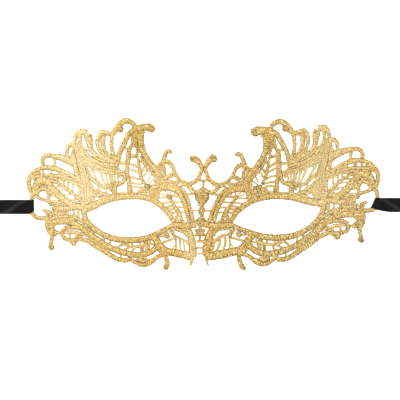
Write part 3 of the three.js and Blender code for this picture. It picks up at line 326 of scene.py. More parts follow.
BARS: tuple[Strand, ...] = (
    # crest and nose
    Strand("antenna_bar", (1.4, 1.4), ((4, 9.9), (0, 9.3))),
    Strand("heart_side", (1.5, 1.5), ((12, -0.3), (8, 0), (4.6, 0.8))),
    Strand("oval_bar", (1, 1), ((8.4, -11.9), (5.4, -11.6), (2.2, -11.6))),
    Strand("crest_bar", (1.6, 1.4), ((13.8, 8), (14.8, 6), (15.6, 4.6))),
    # horn
    Strand("arch_tie", (2.3, 2.3), ((59.6, 21.4), (56, 21.6), (52.6, 21.6))),
    Strand("arch_tie_low", (1.8, 1.8), ((59.8, 21), (59, 17.6), (56.8, 15.9), (53, 15))),
    Strand("horn_tie", (1.7, 1.7), ((55.8, 32.8), (53.8, 31.8), (51, 31.2))),
    Strand("horn_tie_low", (2.8, 2.8), ((51, 26.9), (46, 26.1))),
    Strand("horn_tie_small", (1.4, 1.4), ((45.2, 22.9), (41.6, 22.7))),
    *series("horn_vein", ((2, 2), ((50.9, 21.5), (45.4, 18.5))),
            ((1.7, 1.6), ((50.6, 17.6), (44.8, 14.6))), ((1.6, 1.4), ((51.2, 12.5), (44, 10))),
            ((1.4, 1.3), ((50.6, 7.7), (42.2, 6.8))), ((1.3, 1.2), ((50.4, 5.2), (41.6, 4.7)))),
    *series("horn_fan", ((1.6, 1.5), ((43.2, 14.2), (41.4, 18.8))),
            ((1.4, 1.4), ((41.6, 12), (39.3, 16.6))), ((0.9, 0.9), ((38.6, 8.6), (36, 13.6))),
            ((0.8, 0.8), ((37.6, 7.4), (34.2, 10.6)))),
    Strand("horn_cross", (1.6, 1.6), ((50.4, 43), (47.6, 40.2), (44.6, 36))),
    Strand("knot_tie", (2, 2), ((40, 4.2), (43.4, 3), (46.6, 1), (50, 0.2))),
    Strand("knot_foot", (2.4, 2.4), ((38, 3.6), (36.6, 0), (35, -4))),
    Strand("knot_side", (2.2, 2.2), ((38, 4.8), (34, 3.8), (30, 3.8))),
    # plumes and fan
    Strand("plume_tie", (1.2, 1.2), ((88.8, 35.6), (86, 34.6))),
    Strand("plume2_thread", (1, 1), ((71.9, 40), (71.1, 34.5), (69.9, 30))),
    *series("fan_vein",
            ((2.1, 1.7, 1.3, 1.1), ((79.5, 20.6), (77.6, 17), (75.8, 13), (74.2, 10), (72.5, 7.2))),
            ((2, 1.7, 1.4, 1.3), ((72.2, 16), (70.8, 12), (69, 8), (67.4, 5.6))),
            ((1.6, 1.3, 1.2), ((68.6, 15), (67.3, 10), (66.3, 7), (65.7, 5.6))),
            ((1.3, 1.1), ((65.8, 14), (64.8, 9), (64.3, 7))), ((1.2, 1), ((63.9, 13.6), (62.9, 8))),
            ((1.2, 1), ((61.7, 13), (61.2, 8.4))), ((1.2, 1), ((59.6, 13), (59.3, 8.6)))),
    Strand("under_fan_tie", (1.3, 1.3), ((73.6, 6.6), (72.8, 1.9))),
    Strand("under_fan_bar", (1.5, 1.5), ((68.4, 4.8), (67.8, 1.8), (66.8, -0.8))),
    # ears, arch and temple
    Strand("ear_post", (3.2, 2, 2.6), ((104.6, 26.4), (104, 22.4), (103.7, 19))),
    *series("arch_rung", ((1.2, 1.2), ((111.8, 18.6), (111.7, 13.6))),
            ((1.2, 1.2), ((106.2, 18.6), (106.1, 13.4))), ((1.2, 1.2), ((115.4, 17.8), (115.3, 13)))),
    *series("rib_rung", ((1.1, 1.1), ((107.6, 7.8), (103.4, 7.9))),
            ((1.2, 1.2), ((105, 5.3), (98.4, 5.1))), ((1.1, 1.1), ((102, 3), (95.4, 2.8))),
            ((1.1, 1.1), ((99.4, -0.2), (92, -0.4))), ((1.2, 1.2), ((95.4, -4), (88, -3.5)))),
    *series("temple_vein", ((1.5, 1.5), ((97.4, 10.8), (97.2, 6.4))),
            ((1.5, 1.5), ((94.6, 9.8), (94.2, 4))), ((1.5, 1.5), ((91.5, 9), (91, 1.4))),
            ((2.1, 2.1), ((87, 6.4), (86.3, -3)))),
    Strand("temple_tie", (1.9, 1.7), ((107.5, -5.2), (102, -5.4), (96, -7))),
    Strand("temple_tie_low", (2, 2), ((105.6, -8.5), (101, -8.7), (95, -9.6))),
    # cheek
    *series("cheek_vein", ((1.4, 1.4), ((94.8, -10), (94.6, -16))),
            ((1.4, 1.4), ((90.6, -9.4), (90.3, -16.6))), ((1.5, 1.5), ((87.4, -8.8), (87.1, -18)))),
    Strand("cheek_tie", (1.8, 1.5), ((102, -27.1), (98.6, -27.3))),
    *series("cheek_link", ((1.3, 1.3), ((81.6, -23.4), (83.2, -25.6))),
            ((1.3, 1.3), ((75.8, -26.4), (77, -29)))),
    Strand("low_ring_bar", (1.8, 2.8, 2.6, 2, 1.6), ((98, -26.5), (93.4, -26.8), (88.6, -27.1),
           (84, -28.4), (81.4, -29.6))),
    *series("low_ring_post", ((1.5, 1.5), ((93.3, -26.6), (93.4, -32))),
            ((2, 2), ((88.4, -27), (88.2, -32.2)))),
    Strand("hem_tie", (1.2, 1.2), ((57.6, -41.8), (57.4, -45.6))),
    *series("net_vein", ((1.5, 1.5), ((69.8, -29.6), (69, -35))),
            ((1.6, 1.6), ((65.2, -30.8), (65.6, -36.4))), ((1.7, 1.5), ((54.2, -33.4), (60.8, -38))),
            ((1.5, 1.4), ((50, -36.4), (56.4, -39.8))), ((1.4, 1.4), ((47, -37), (50.8, -41))),
            ((1, 1), ((43.4, -36.6), (43.6, -41.4)))),
    Strand("net_rail", (1.6, 1.9, 2, 1.7), ((55.4, -35.2), (52, -36.2), (49, -36.9), (45, -36.7), (42, -36.1),
           (39.6, -35.1))),
    *series("net_rung", ((1.6, 1.6), ((52.8, -33.6), (52, -36.4))),
            ((1.2, 1.2), ((50, -33.6), (49, -36.8))), ((1.1, 1.1), ((44.6, -33), (43.8, -36.6))),
            ((1.1, 1.1), ((41.4, -32.6), (40.8, -36))), ((1.2, 1.2), ((37.4, -31), (37, -35)))),
    Strand("net_post", (3, 3.4, 3, 2.6), ((39, -35), (38.9, -37), (39.2, -41.4))),
    Strand("net_side", (1.3, 1.3), ((38.4, -35), (33.6, -35))),
    # nose, lower part
    Strand("nose_line", (1.4, 1.3), ((21, -28), (17.6, -29.7), (13.5, -31), (9.9, -33), (7.8, -35.6))),
    Strand("nose_tie_high", (1.5, 1.5), ((31, -29.6), (25.4, -29.2))),
    Strand("nose_tie", (1.5, 1.5, 1.4), ((28.4, -33.8), (24.8, -32.8), (20.4, -31.4))),
    *series("nose_thread", ((1.3, 1.3), ((18.2, -29.6), (18, -39.6))),
            ((0.8, 0.7), ((17.8, -34.5), (20.6, -37.6))), ((1.6, 1.2), ((14.9, -30.4), (14.2, -40.2))),
            ((1.1, 1.1), ((11.9, -31.4), (11.3, -36), (10.4, -40.6))),
            ((1.1, 1.1), ((9, -32.2), (7, -36.6), (7.3, -41)))),
    Strand("bridge_high", (1.7, 1.5), ((4.4, -33.2), (0, -33))),
    Strand("bridge_mid", (1, 1), ((3.8, -37.9), (0, -37.5))),
    Strand("bridge_low", (0.8, 0.8), ((4.4, -41.4), (0, -41.8))),
    Strand("nose_vein_1", (1, 1), ((31, -2.6), (25, -2.3))),
    *series("nose_top_vein", ((0.7, 0.7), ((29.8, 0.4), (24, -1.4))),
            ((0.7, 0.7), ((26.8, 2.4), (23.6, -1.4))), ((0.7, 0.7), ((22.6, 2.4), (23, -1.4))),
            ((0.7, 0.7), ((18.4, 0.8), (22.4, -2)))),
    Strand("nose_vein_2", (1.1, 1.1), ((29, -6.4), (22.2, -5.6))),
    Strand("nose_vein_3", (1.4, 1.4), ((26, -9), (21.2, -8))),
    Strand("nose_vein_4", (1.2, 1.2), ((25, -11), (20.6, -10.2))),
    Strand("nose_vein_5", (1.2, 1.2), ((23.4, -13.7), (19, -12.8))),
)

LADDERS: tuple[Ladder, ...] = (
    Ladder("nose_vein_in", 1, 4, ((22.6, -1.8), (21, -7.4), (17.4, -12.4)),
           ((15.2, -1.8), (13.6, -8), (11.8, -13))),
)

HEART = Strand("heart", (1.6, 4.8, 8, 10, 10.6, 10.2, 9.2, 7, 3.6), ((-0.6, 4.8), (-0.4, -7.2)))
LOZENGE = Strand("lozenge", (1.6, 4.6, 7, 7.7, 7.2, 5.4, 3.2), ((0.4, -15.7), (0.3, -22.6)))
LINKS: tuple[Strand, ...] = (
    Strand("antenna_link", (1.2, 1.2), ((0, 10), (0, 4.4))),
    Strand("heart_link", (5, 3.4), ((-0.5, -6), (-0.9, -9.2))),
    Strand("oval_link", (3, 2.4), ((0, -13.2), (0.4, -16))),
    Strand("star_link", (1.5, 1.5), ((0.3, -21.6), (0, -25.4))),
    Strand("star_foot", (1.2, 1.2), ((0, -29), (0, -33))),
)
OVAL_MIDDLE_V = -11.5
OVAL_RADII = (1.25, 2.3)
OVAL_CORD = 1.7
STAR_V = -27.0
STAR_LOBES = 6
STAR_REACH = 4.1

DROPS: dict[Side, Strand] = {
    Side.LEFT: Strand("drop", (2.3, 2.7, 3.2, 3.6), ((25.9, -41.6), (25.5, -45.5), (24.9, -48.4),
                      (25.6, -51))),
    Side.RIGHT: Strand("drop", (2.3, 2.7, 3.2, 3.6), ((25.2, -42.2), (25.5, -46.4), (26.5, -49.8),
                       (28, -51.9))),
}
DROP_KNOTS: dict[Side, Knot] = {
    Side.LEFT: Knot("drop_knot", 1.9, (25.9, -51.4)),
    Side.RIGHT: Knot("drop_knot", 1.9, (28.2, -52)),
}

PULLS: tuple[Pull, ...] = (
    # crest, horn and plumes
    Pull((7.4, 25.4), (3.2, 3.6), (-0.9, 1.8)),
    Pull((5, 6), (4, 3), (0.3, -0.5)),
    Pull((20, 16), (9, 9), (0.4, -0.5)),
    Pull((28, 23), (14, 13), (1.0, -2.0)),
    Pull((37, 45), (6, 8), (-0.6, -2.1)),
    Pull((46, 46), (5, 5), (0, -0.5)),
    Pull((57, 32), (3, 7), (0.5, 0.2)),
    Pull((50, 49), (4, 3), (-0.4, 0.5)),
    Pull((43, 35), (4, 5), (0.5, 0)),
    Pull((48.6, 23), (3.6, 6), (0, 1.7)),
    Pull((47, 9), (4, 5), (0, 1.6)),
    Pull((53, 35), (12, 12), (0.5, -1.0)),
    Pull((57, 45), (4, 4), (-0.6, 1.1)),
    Pull((56, 51), (7, 4), (0, -0.5)),
    Pull((70, 44), (12, 12), (-0.5, 0.1)),
    Pull((90, 38), (10, 10), (-0.5, -0.3)),
    # eye rim, cheek bands and nose
    Pull((36, -28), (7, 5), (0, 0.5)),
    Pull((55, -3), (9, 3), (0, 0.4)),
    Pull((18, -15), (2.5, 3), (1.2, 0)),
    Pull((36, -42), (5, 3), (0, -0.5)),
    Pull((62, -41), (5, 2.5), (0, 0.5)),
    Pull((58, -27), (18, 8), (0.4, 1.4)),
    Pull((52, -38), (14, 9), (0.3, 0.9)),
    Pull((74, -24), (7, 6), (0.2, -0.6)),
    Pull((82, -11), (7, 7), (0.5, 1.1)),
    Pull((28, -42), (12, 8), (0, 0.8)),
    Pull((24, -14), (9, 9), (-1.5, -0.1)),
    Pull((5.5, -17), (3, 3.4), (1.0, 0)),
    Pull((13, -17), (3, 3), (0.7, 0)),
    Pull((39, -4), (8, 6), (-0.2, -0.4)),
    Pull((72, -6), (10, 5), (0, -0.5)),
    Pull((72, -40), (14, 6), (0, -0.7)),
    Pull((90, -33), (8, 6), (0.8, 0.8)),
    Pull((98, -18), (8, 10), (-0.9, 0)),
    Pull((105, -22), (4, 4), (0.8, 0)),
    # temple, ears and side loop
    Pull((95, 4), (17, 9), (-0.6, 0.5)),
    Pull((78, 16), (1.8, 5), (1.2, 0)),
    Pull((106, 27), (8, 4), (0, -0.4)),
    Pull((116, -16), (4, 4), (0, 0.7)),
    Pull((112, -10), (3, 3), (1.0, 0)),
    # foot of the nose
    Pull((13, -29.5), (5, 2.4), (0, 1.9)),
    Pull((14, -35), (4.6, 4.6), (2.4, 0)),
    Pull((5.8, -47), (3, 4), (-1.1, 0)),
    Pull((16, -44.5), (9, 2.4), (0, -0.9)),
)

# Where the cloth lies closed on the right half alone.
RIGHT_FILLS: tuple[Strand, ...] = (
    Strand("nose_post_fill", (1.3, 1.5), ((8.3, -33.4), (8.0, -39.8))),
    Strand("horn_rib_fill", (1.4, 1.4), ((50.9, 32), (50.9, 28), (51.2, 22), (51.6, 16), (50.4, 11))),
    Strand("loop_top_fill", (1.2, 1.4, 1.2), ((119.4, -0.6), (120.4, -3), (120.8, -5))),
    Strand("leaf_lap_fill", (1.2, 1.5, 0.8), ((89.6, -1.9), (92.8, -1.4), (95.2, -0.9))),
    Strand("plume_web_high", (1.6, 1.6), ((80.6, 29.8), (77.8, 27.4))),
    Strand("arch_web_fill", (1.2, 1.2), ((107.7, 16.6), (107.6, 14.4))),
    Strand("arch_web_outer", (0.9, 0.9), ((110.9, 16.8), (110.8, 14.4))),
    Strand("cheek_web_fill", (1.5, 1.5), ((86, -12.4), (85.7, -16.2))),
)


def smooth(low: float, high: float, value: np.ndarray) -> np.ndarray:
    """Eases from 0 at low to 1 at high.

    Args:
        low: Where the change begins.
        high: Where it is complete.
        value: The places asked about.

    Returns:
        The share of the change at each place.
    """
    t = np.clip((value - low) / (high - low), 0, 1)
    return t * t * (3 - 2 * t)


@dataclass(frozen=True)
class ClothLie:
    """How the soft lace lies on the table after it was laid down by hand, in millimetres.

    A pair of numbers says where a change begins and where it is complete.
    """

    ridge_height: float = 3.9
    ridge_slope: Point = (2.0, 38.0)
    ridge_rise: Point = (20.0, -10.0)
    ridge_brow_share: float = 0.45
    brow_lean: float = 0.3
    nose_lean: float = 2.7
    nose_bend: Point = (10.0, -35.0)
    nose_reach: Point = (6.0, 26.0)
    wing_swing: float = 5.0
    swing_reach: Point = (50.0, 108.0)
    wing_turn: float = 0.085
    turn_reach: Point = (72.0, 106.0)
    wing_hinge_v: float = 15.0
    pull_reach: Point = (2.0, 8.0)
    loop_lift: float = 0.8
    loop_reach: Point = (112.5, 117.0)
    loop_middle_v: float = -8.0
    loop_edge: Point = (7.0, 9.4)

    def place(self, across: np.ndarray, v: np.ndarray) -> tuple[np.ndarray, np.ndarray]:
        """Lays points of the flat pattern on the table.

        Args:
            across: Signed distance from the centre line.
            v: Height on the face.

        Returns:
            The x and y of each point on the table.
        """
        u = np.abs(across)
        right = across >= 0
        lean = self.brow_lean - self.nose_lean * smooth(*self.nose_bend, v)
        x = across + lean * (1 - smooth(*self.nose_reach, u))
        x = x + right * self.wing_turn * (self.wing_hinge_v - v) * smooth(*self.turn_reach, u)
        y = v + right * self.wing_swing * smooth(*self.swing_reach, u)
        for pull in PULLS:
            away = ((u - pull.at[0]) / pull.reach[0]) ** 2 + ((v - pull.at[1]) / pull.reach[1]) ** 2
            share = right * np.exp(-away / 2) * smooth(*self.pull_reach, u)
            x = x + pull.by[0] * share
            y = y + pull.by[1] * share
        return x, y

    def lift(self, across: np.ndarray, v: np.ndarray) -> np.ndarray:
        """Says how far the underside of the lace stands off the table.

        Args:
            across: Signed distance from the centre line.
            v: Height on the face.

        Returns:
            The height of the underside at each point.
        """
        u = np.abs(across)
        least = self.ridge_brow_share
        ridge = self.ridge_height * (1 - smooth(*self.ridge_slope, u))
        ridge = ridge * (least + (1 - least) * smooth(*self.ridge_rise, v))
        near = 1 - smooth(*self.loop_edge, np.abs(v - self.loop_middle_v))
        return ridge + self.loop_lift * smooth(*self.loop_reach, u) * near


@dataclass(frozen=True)
class Stitching:
    """How one kind of strand is stitched, in millimetres.

    The threads add their spread to a strand's width, and between two stitches they dip and pinch
    in. A fill wider than row_width is stitched in rows, and each row laps over the next one. The
    ends run a share of the half width past the route, and narrow and sink towards their tips.
    """

    height: float
    pitch: float
    dip: float
    slant: float
    section: Route
    wobble: float = 0.06
    wobble_rate: float = 1.7
    spread: float = 0.4
    row_width: float = math.inf
    row_lap: float = 1.25
    row_widening: float = 1.08
    end_reach: float = 0.3
    tip_length: float = 0.55
    tip_least: float = 0.3
    tip_width: float = 0.4
    tip_height: float = 0.55
    pinch: float = 0.05
    pitch_drift: float = 0.05
    unevenness: float = 0.025
    row_lift: float = 0.07


def section(*left: Point) -> Route:
    """Gives a strand's section from its left part, up from the foot: share of half width and height."""
    return (*left, *((-across, up) for across, up in reversed(left) if across))


PADDED = section((-0.80, 0.0), (-0.98, 0.2), (-0.97, 0.48), (-0.76, 0.8), (-0.4, 0.96), (0.0, 1.0))
FLAT_ROW = section((-0.9, 0.0), (-1.0, 0.45), (-0.74, 0.84), (-0.3, 0.98))
ROUND = section((-0.62, 0.08), (-0.98, 0.36), (-0.9, 0.7), (-0.45, 0.96))


class Stitch(Enum):
    """The kinds of stitching on the mask."""

    CORD = Stitching(height=1.42, pitch=0.66, dip=0.13, slant=0.22, section=PADDED, spread=0.43)
    FILL = Stitching(height=1.16, pitch=0.6, dip=0.10, slant=0.3, section=FLAT_ROW, wobble=0.1,
                     spread=0.3, row_width=2.1)
    BAR = Stitching(height=0.9, pitch=0.7, dip=0.08, slant=0.6, section=ROUND, spread=0.34)
    KNOT = Stitching(height=1.66, pitch=0.56, dip=0.13, slant=0.1, section=PADDED, spread=0.3)

    @property
    def word(self) -> str:
        """The kind as it is said in a piece's name."""
        return f"{self.name.lower()}s"


# A knot's disc: how its height falls off, how much of its radius is stitched and in how many widths.
KNOT_CROWN = 0.35
KNOT_EDGE = 0.94
KNOT_WIDTHS = 9
# The rings of a row: their least number and half width, and how far on the heading is taken.
FEWEST_RINGS = 4
LEAST_HALF_WIDTH = 0.02
LOOK_AHEAD = 0.2
# The spans that a row's sway and its start in the thread pattern are drawn from.
SWAY_PHASES = 6
RUN_STARTS = 40
# How strong the finer layers of the cloudy noises are.
CLOUD_ROUGH = 0.55


def smooth_line(route: np.ndarray, step: float = 0.12) -> np.ndarray:
    """Runs a smooth line through the points of a route.

    Args:
        route: The points to pass through.
        step: Rough distance between the points given back.

    Returns:
        Closely spaced points on the line.
    """
    ends = np.vstack([route[:1], route, route[-1:]])
    parts = []
    for a, b, c, d in zip(ends, ends[1:], ends[2:], ends[3:]):
        count = max(6, int(np.linalg.norm(c - b) / step))
        t = np.linspace(0, 1, count, endpoint=False)[:, None]
        square = (2 * a - 5 * b + 4 * c - d) * t**2
        cube = (3 * b - a - 3 * c + d) * t**3
        parts.append(0.5 * (2 * b + (c - a) * t + square + cube))
    parts.append(route[-1:])
    return np.vstack(parts)


def distances(line: np.ndarray) -> np.ndarray:
    """Gives the distance of each point of a line from its start, along the line."""
    gaps = np.linalg.norm(np.diff(line, axis=0), axis=1)
    return np.concatenate([[0], np.cumsum(gaps)])


def points_at(line: np.ndarray, along: np.ndarray, s: np.ndarray) -> np.ndarray:
    """Gives the points of a line at some distances from its start.

    Args:
        line: The points of the line.
        along: The distance of each of them from the start.
        s: The distances asked about.

    Returns:
        One point for each distance.
    """
    return np.stack([np.interp(s, along, line[:, k]) for k in (0, 1)], axis=1)


class ThreadWork:
    """Collects stitched strands and turns them into the mesh of one piece."""

    def __init__(self, lie: ClothLie, seed: int) -> None:
        """Starts an empty piece.

        Args:
            lie: How the lace lies on the table.
            seed: Start of the small unevenness of the stitches.
        """
        self.lie = lie
        self.chance = np.random.default_rng(seed)
        self.points: list[np.ndarray] = []
        self.quads: list[np.ndarray] = []
        self.triangles: list[np.ndarray] = []
        self.runs: list[np.ndarray] = []
        self.crests: list[np.ndarray] = []
        self.flanks: list[np.ndarray] = []
        self.count = 0

    def stitch(self, side: int, strand: Strand, kind: Stitch, crown: float = 0.0) -> None:
        """Stitches one strand along its route.

        Args:
            side: -1 or 1, the sign that u gets.
            strand: The strand to stitch.
            kind: How it is stitched.
            crown: How far its height falls off with its width, from 0 to 1.
        """
        style = kind.value
        rows = max(1, round(max(strand.widths) / style.row_width))
        line = smooth_line(np.array(strand.route, float) * [side, 1])
        for row in range(rows):
            self._row(line, strand, style, row, rows, crown)

    def _row(self, line: np.ndarray, strand: Strand, style: Stitching, row: int, rows: int,
             crown: float) -> None:
        """Stitches one row of a strand as a run of rings, two for each stitch.

        Args:
            line: Closely spaced points of the strand's middle line.
            strand: The strand, for its widths.
            style: How it is stitched.
            row: Which row this is.
            rows: How many rows lie side by side.
            crown: How far the height falls off with the width.
        """
        along = distances(line)
        length = along[-1]
        stations = np.linspace(0, length, len(strand.widths))
        reach = style.end_reach * np.interp([0, length], stations, strand.widths) / 2
        steps = max(FEWEST_RINGS, 2 * round((length + reach.sum()) / style.pitch) + 1)
        s = np.linspace(-reach[0], length + reach[1], steps)
        crest = (np.arange(steps) % 2).astype(float)
        s[1:-1] += self.chance.normal(0, style.pitch_drift * style.pitch, steps - 2)
        heading = points_at(line, along, s + LOOK_AHEAD) - points_at(line, along, s - LOOK_AHEAD)
        heading /= np.maximum(np.linalg.norm(heading, axis=1, keepdims=True), 1e-9)
        beyond = s - np.clip(s, 0, length)
        middle = points_at(line, along, s) + heading * beyond[:, None]
        across_way = np.stack([-heading[:, 1], heading[:, 0]], axis=1)
        whole = np.interp(s, stations, strand.widths) + style.spread
        lap, widening = (style.row_lap, style.row_widening) if rows > 1 else (1.0, 1.0)
        cell = whole * widening / (rows - 1 + lap)
        half = cell * lap / 2
        shift = (row - (rows - 1) / 2) * cell
        phase = self.chance.uniform(0, SWAY_PHASES)
        sway = style.wobble * np.sin(s * style.wobble_rate + phase)
        middle += across_way * (shift + sway)[:, None]
        from_tip = np.minimum(s + reach[0], length + reach[1] - s)
        from_tip /= np.maximum(style.tip_length * half, style.tip_least)
        ease = np.sqrt(1 - (1 - np.clip(from_tip, 0, 1)) ** 2)
        half = half * (style.tip_width + (1 - style.tip_width) * ease)
        half = half * (1 + self.chance.normal(0, style.unevenness, steps))
        half = half * (1 - style.pinch * (1 - crest)) + LEAST_HALF_WIDTH
        height = style.height * (style.tip_height + (1 - style.tip_height) * ease)
        height = (height - style.dip * (1 - crest)) * (1 - crown * (1 - whole / whole.max()))
        height = height + self.chance.normal(0, style.unevenness, steps)
        outline = np.array(style.section)
        sideways = outline[None, :, 0] * half[:, None]
        lean = style.slant * sideways
        flat = (middle[:, None, :] + across_way[:, None, :] * sideways[..., None]
                + heading[:, None, :] * lean[..., None])
        up = outline[None, :, 1] * height[:, None] + self.chance.uniform(0.0, style.row_lift)
        self._rings(flat, up, s, sideways, crest)

    def _rings(self, flat: np.ndarray, up: np.ndarray, s: np.ndarray, sideways: np.ndarray,
               crest: np.ndarray) -> None:
        """Joins the rings of a row into a closed skin.

        Args:
            flat: Pattern place of every point, ring by ring.
            up: Height of every point above the underside.
            s: Distance along the row of each ring.
            sideways: Distance across the row of every point.
            crest: 1 on the rings that stand proud and 0 on those between two stitches.
        """
        rings, sides = up.shape
        ends = np.stack([flat[0].mean(axis=0), flat[-1].mean(axis=0)])
        across = np.concatenate([flat[..., 0].ravel(), ends[:, 0]])
        v = np.concatenate([flat[..., 1].ravel(), ends[:, 1]])
        rise = np.concatenate([up.ravel(), [up[0].mean(), up[-1].mean()]])
        x, y = self.lie.place(across, v)
        z = self.lie.lift(across, v) + rise
        start = self.count
        index = start + np.arange(rings * sides).reshape(rings, sides)
        here, there = index[:-1], index[1:]
        following = np.roll(index, -1, axis=1)
        quads = np.stack([here, there, following[1:], following[:-1]], axis=-1)
        first, last = start + rings * sides, start + rings * sides + 1
        caps = [np.stack([np.full(sides, first), index[0], following[0]], axis=-1),
                np.stack([np.full(sides, last), following[-1], index[-1]], axis=-1)]
        offset = self.chance.uniform(0, RUN_STARTS)
        run = np.stack([np.repeat(s, sides) + offset, sideways.ravel()], axis=-1)
        run = np.vstack([run, [[s[0] + offset, 0], [s[-1] + offset, 0]]])
        self.points.append(np.stack([x, y, z], axis=-1) * MM)
        self.quads.append(quads.reshape(-1, 4))
        self.triangles += caps
        self.runs.append(run)
        self.crests.append(np.concatenate([np.repeat(crest, sides), [0, 0]]))
        widest = np.maximum(np.abs(sideways).max(axis=1, keepdims=True), 1e-6)
        self.flanks.append(np.concatenate([(np.abs(sideways) / widest).ravel(), [1, 1]]))
        self.count += rings * sides + 2

    def build(self, name: str) -> bpy.types.Object:
        """Makes the piece of all that was stitched.

        Args:
            name: Name of the piece.

        Returns:
            The new object, with its place in its mesh.
        """
        points = np.vstack(self.points)
        quads = np.vstack(self.quads)
        triangles = np.vstack(self.triangles)
        corners = np.concatenate([quads.ravel(), triangles.ravel()])
        starts = np.concatenate([np.arange(len(quads)) * 4,
                                 len(quads) * 4 + np.arange(len(triangles)) * 3])
        mesh = bpy.data.meshes.new(name)
        mesh.vertices.add(len(points))
        mesh.vertices.foreach_set("co", points.astype(np.float32).ravel())
        mesh.loops.add(len(corners))
        mesh.loops.foreach_set("vertex_index", corners.astype(np.int32))
        mesh.polygons.add(len(starts))
        mesh.polygons.foreach_set("loop_start", starts.astype(np.int32))
        mesh.polygons.foreach_set("use_smooth", np.ones(len(starts), bool))
        mesh.update(calc_edges=True)
        run = np.vstack(self.runs)
        layer = mesh.uv_layers.new(name="thread_run")
        layer.data.foreach_set("uv", run[corners].astype(np.float32).ravel())
        for label, values in (("crest", self.crests), ("flank", self.flanks)):
            told = mesh.attributes.new(label, "FLOAT", "POINT")
            told.data.foreach_set("value", np.concatenate(values).astype(np.float32))
        mesh.validate()
        piece = bpy.data.objects.new(name, mesh)
        bpy.context.scene.collection.objects.link(piece)
        return piece


def ladder_strands(ladder: Ladder) -> list[Strand]:
    """Gives the threads of a ladder.

    Args:
        ladder: The ladder.

    Returns:
        One strand for each thread.
    """
    ends = []
    for route in (ladder.first, ladder.second):
        rail = smooth_line(np.array(route, float))
        along = distances(rail)
        ends.append(points_at(rail, along, np.linspace(0, along[-1], ladder.count)).tolist())
    return [Strand(f"{ladder.name}_{i}", (ladder.width, ladder.width), (tuple(start), tuple(end)))
            for i, (start, end) in enumerate(zip(*ends), 1)]


def knot_strand(knot: Knot) -> Strand:
    """Gives the satin-stitched disc of a knot as a strand whose widths follow a circle.

    Args:
        knot: The knot.

    Returns:
        The strand from the top of the disc to its foot.
    """
    stations = np.linspace(-KNOT_EDGE, KNOT_EDGE, KNOT_WIDTHS)
    widths = tuple(2 * knot.radius * math.sqrt(1 - t * t) for t in stations)
    u, v = knot.middle
    reach = KNOT_EDGE * knot.radius
    return Strand(knot.name, widths, ((u, v + reach), (u, v - reach)))


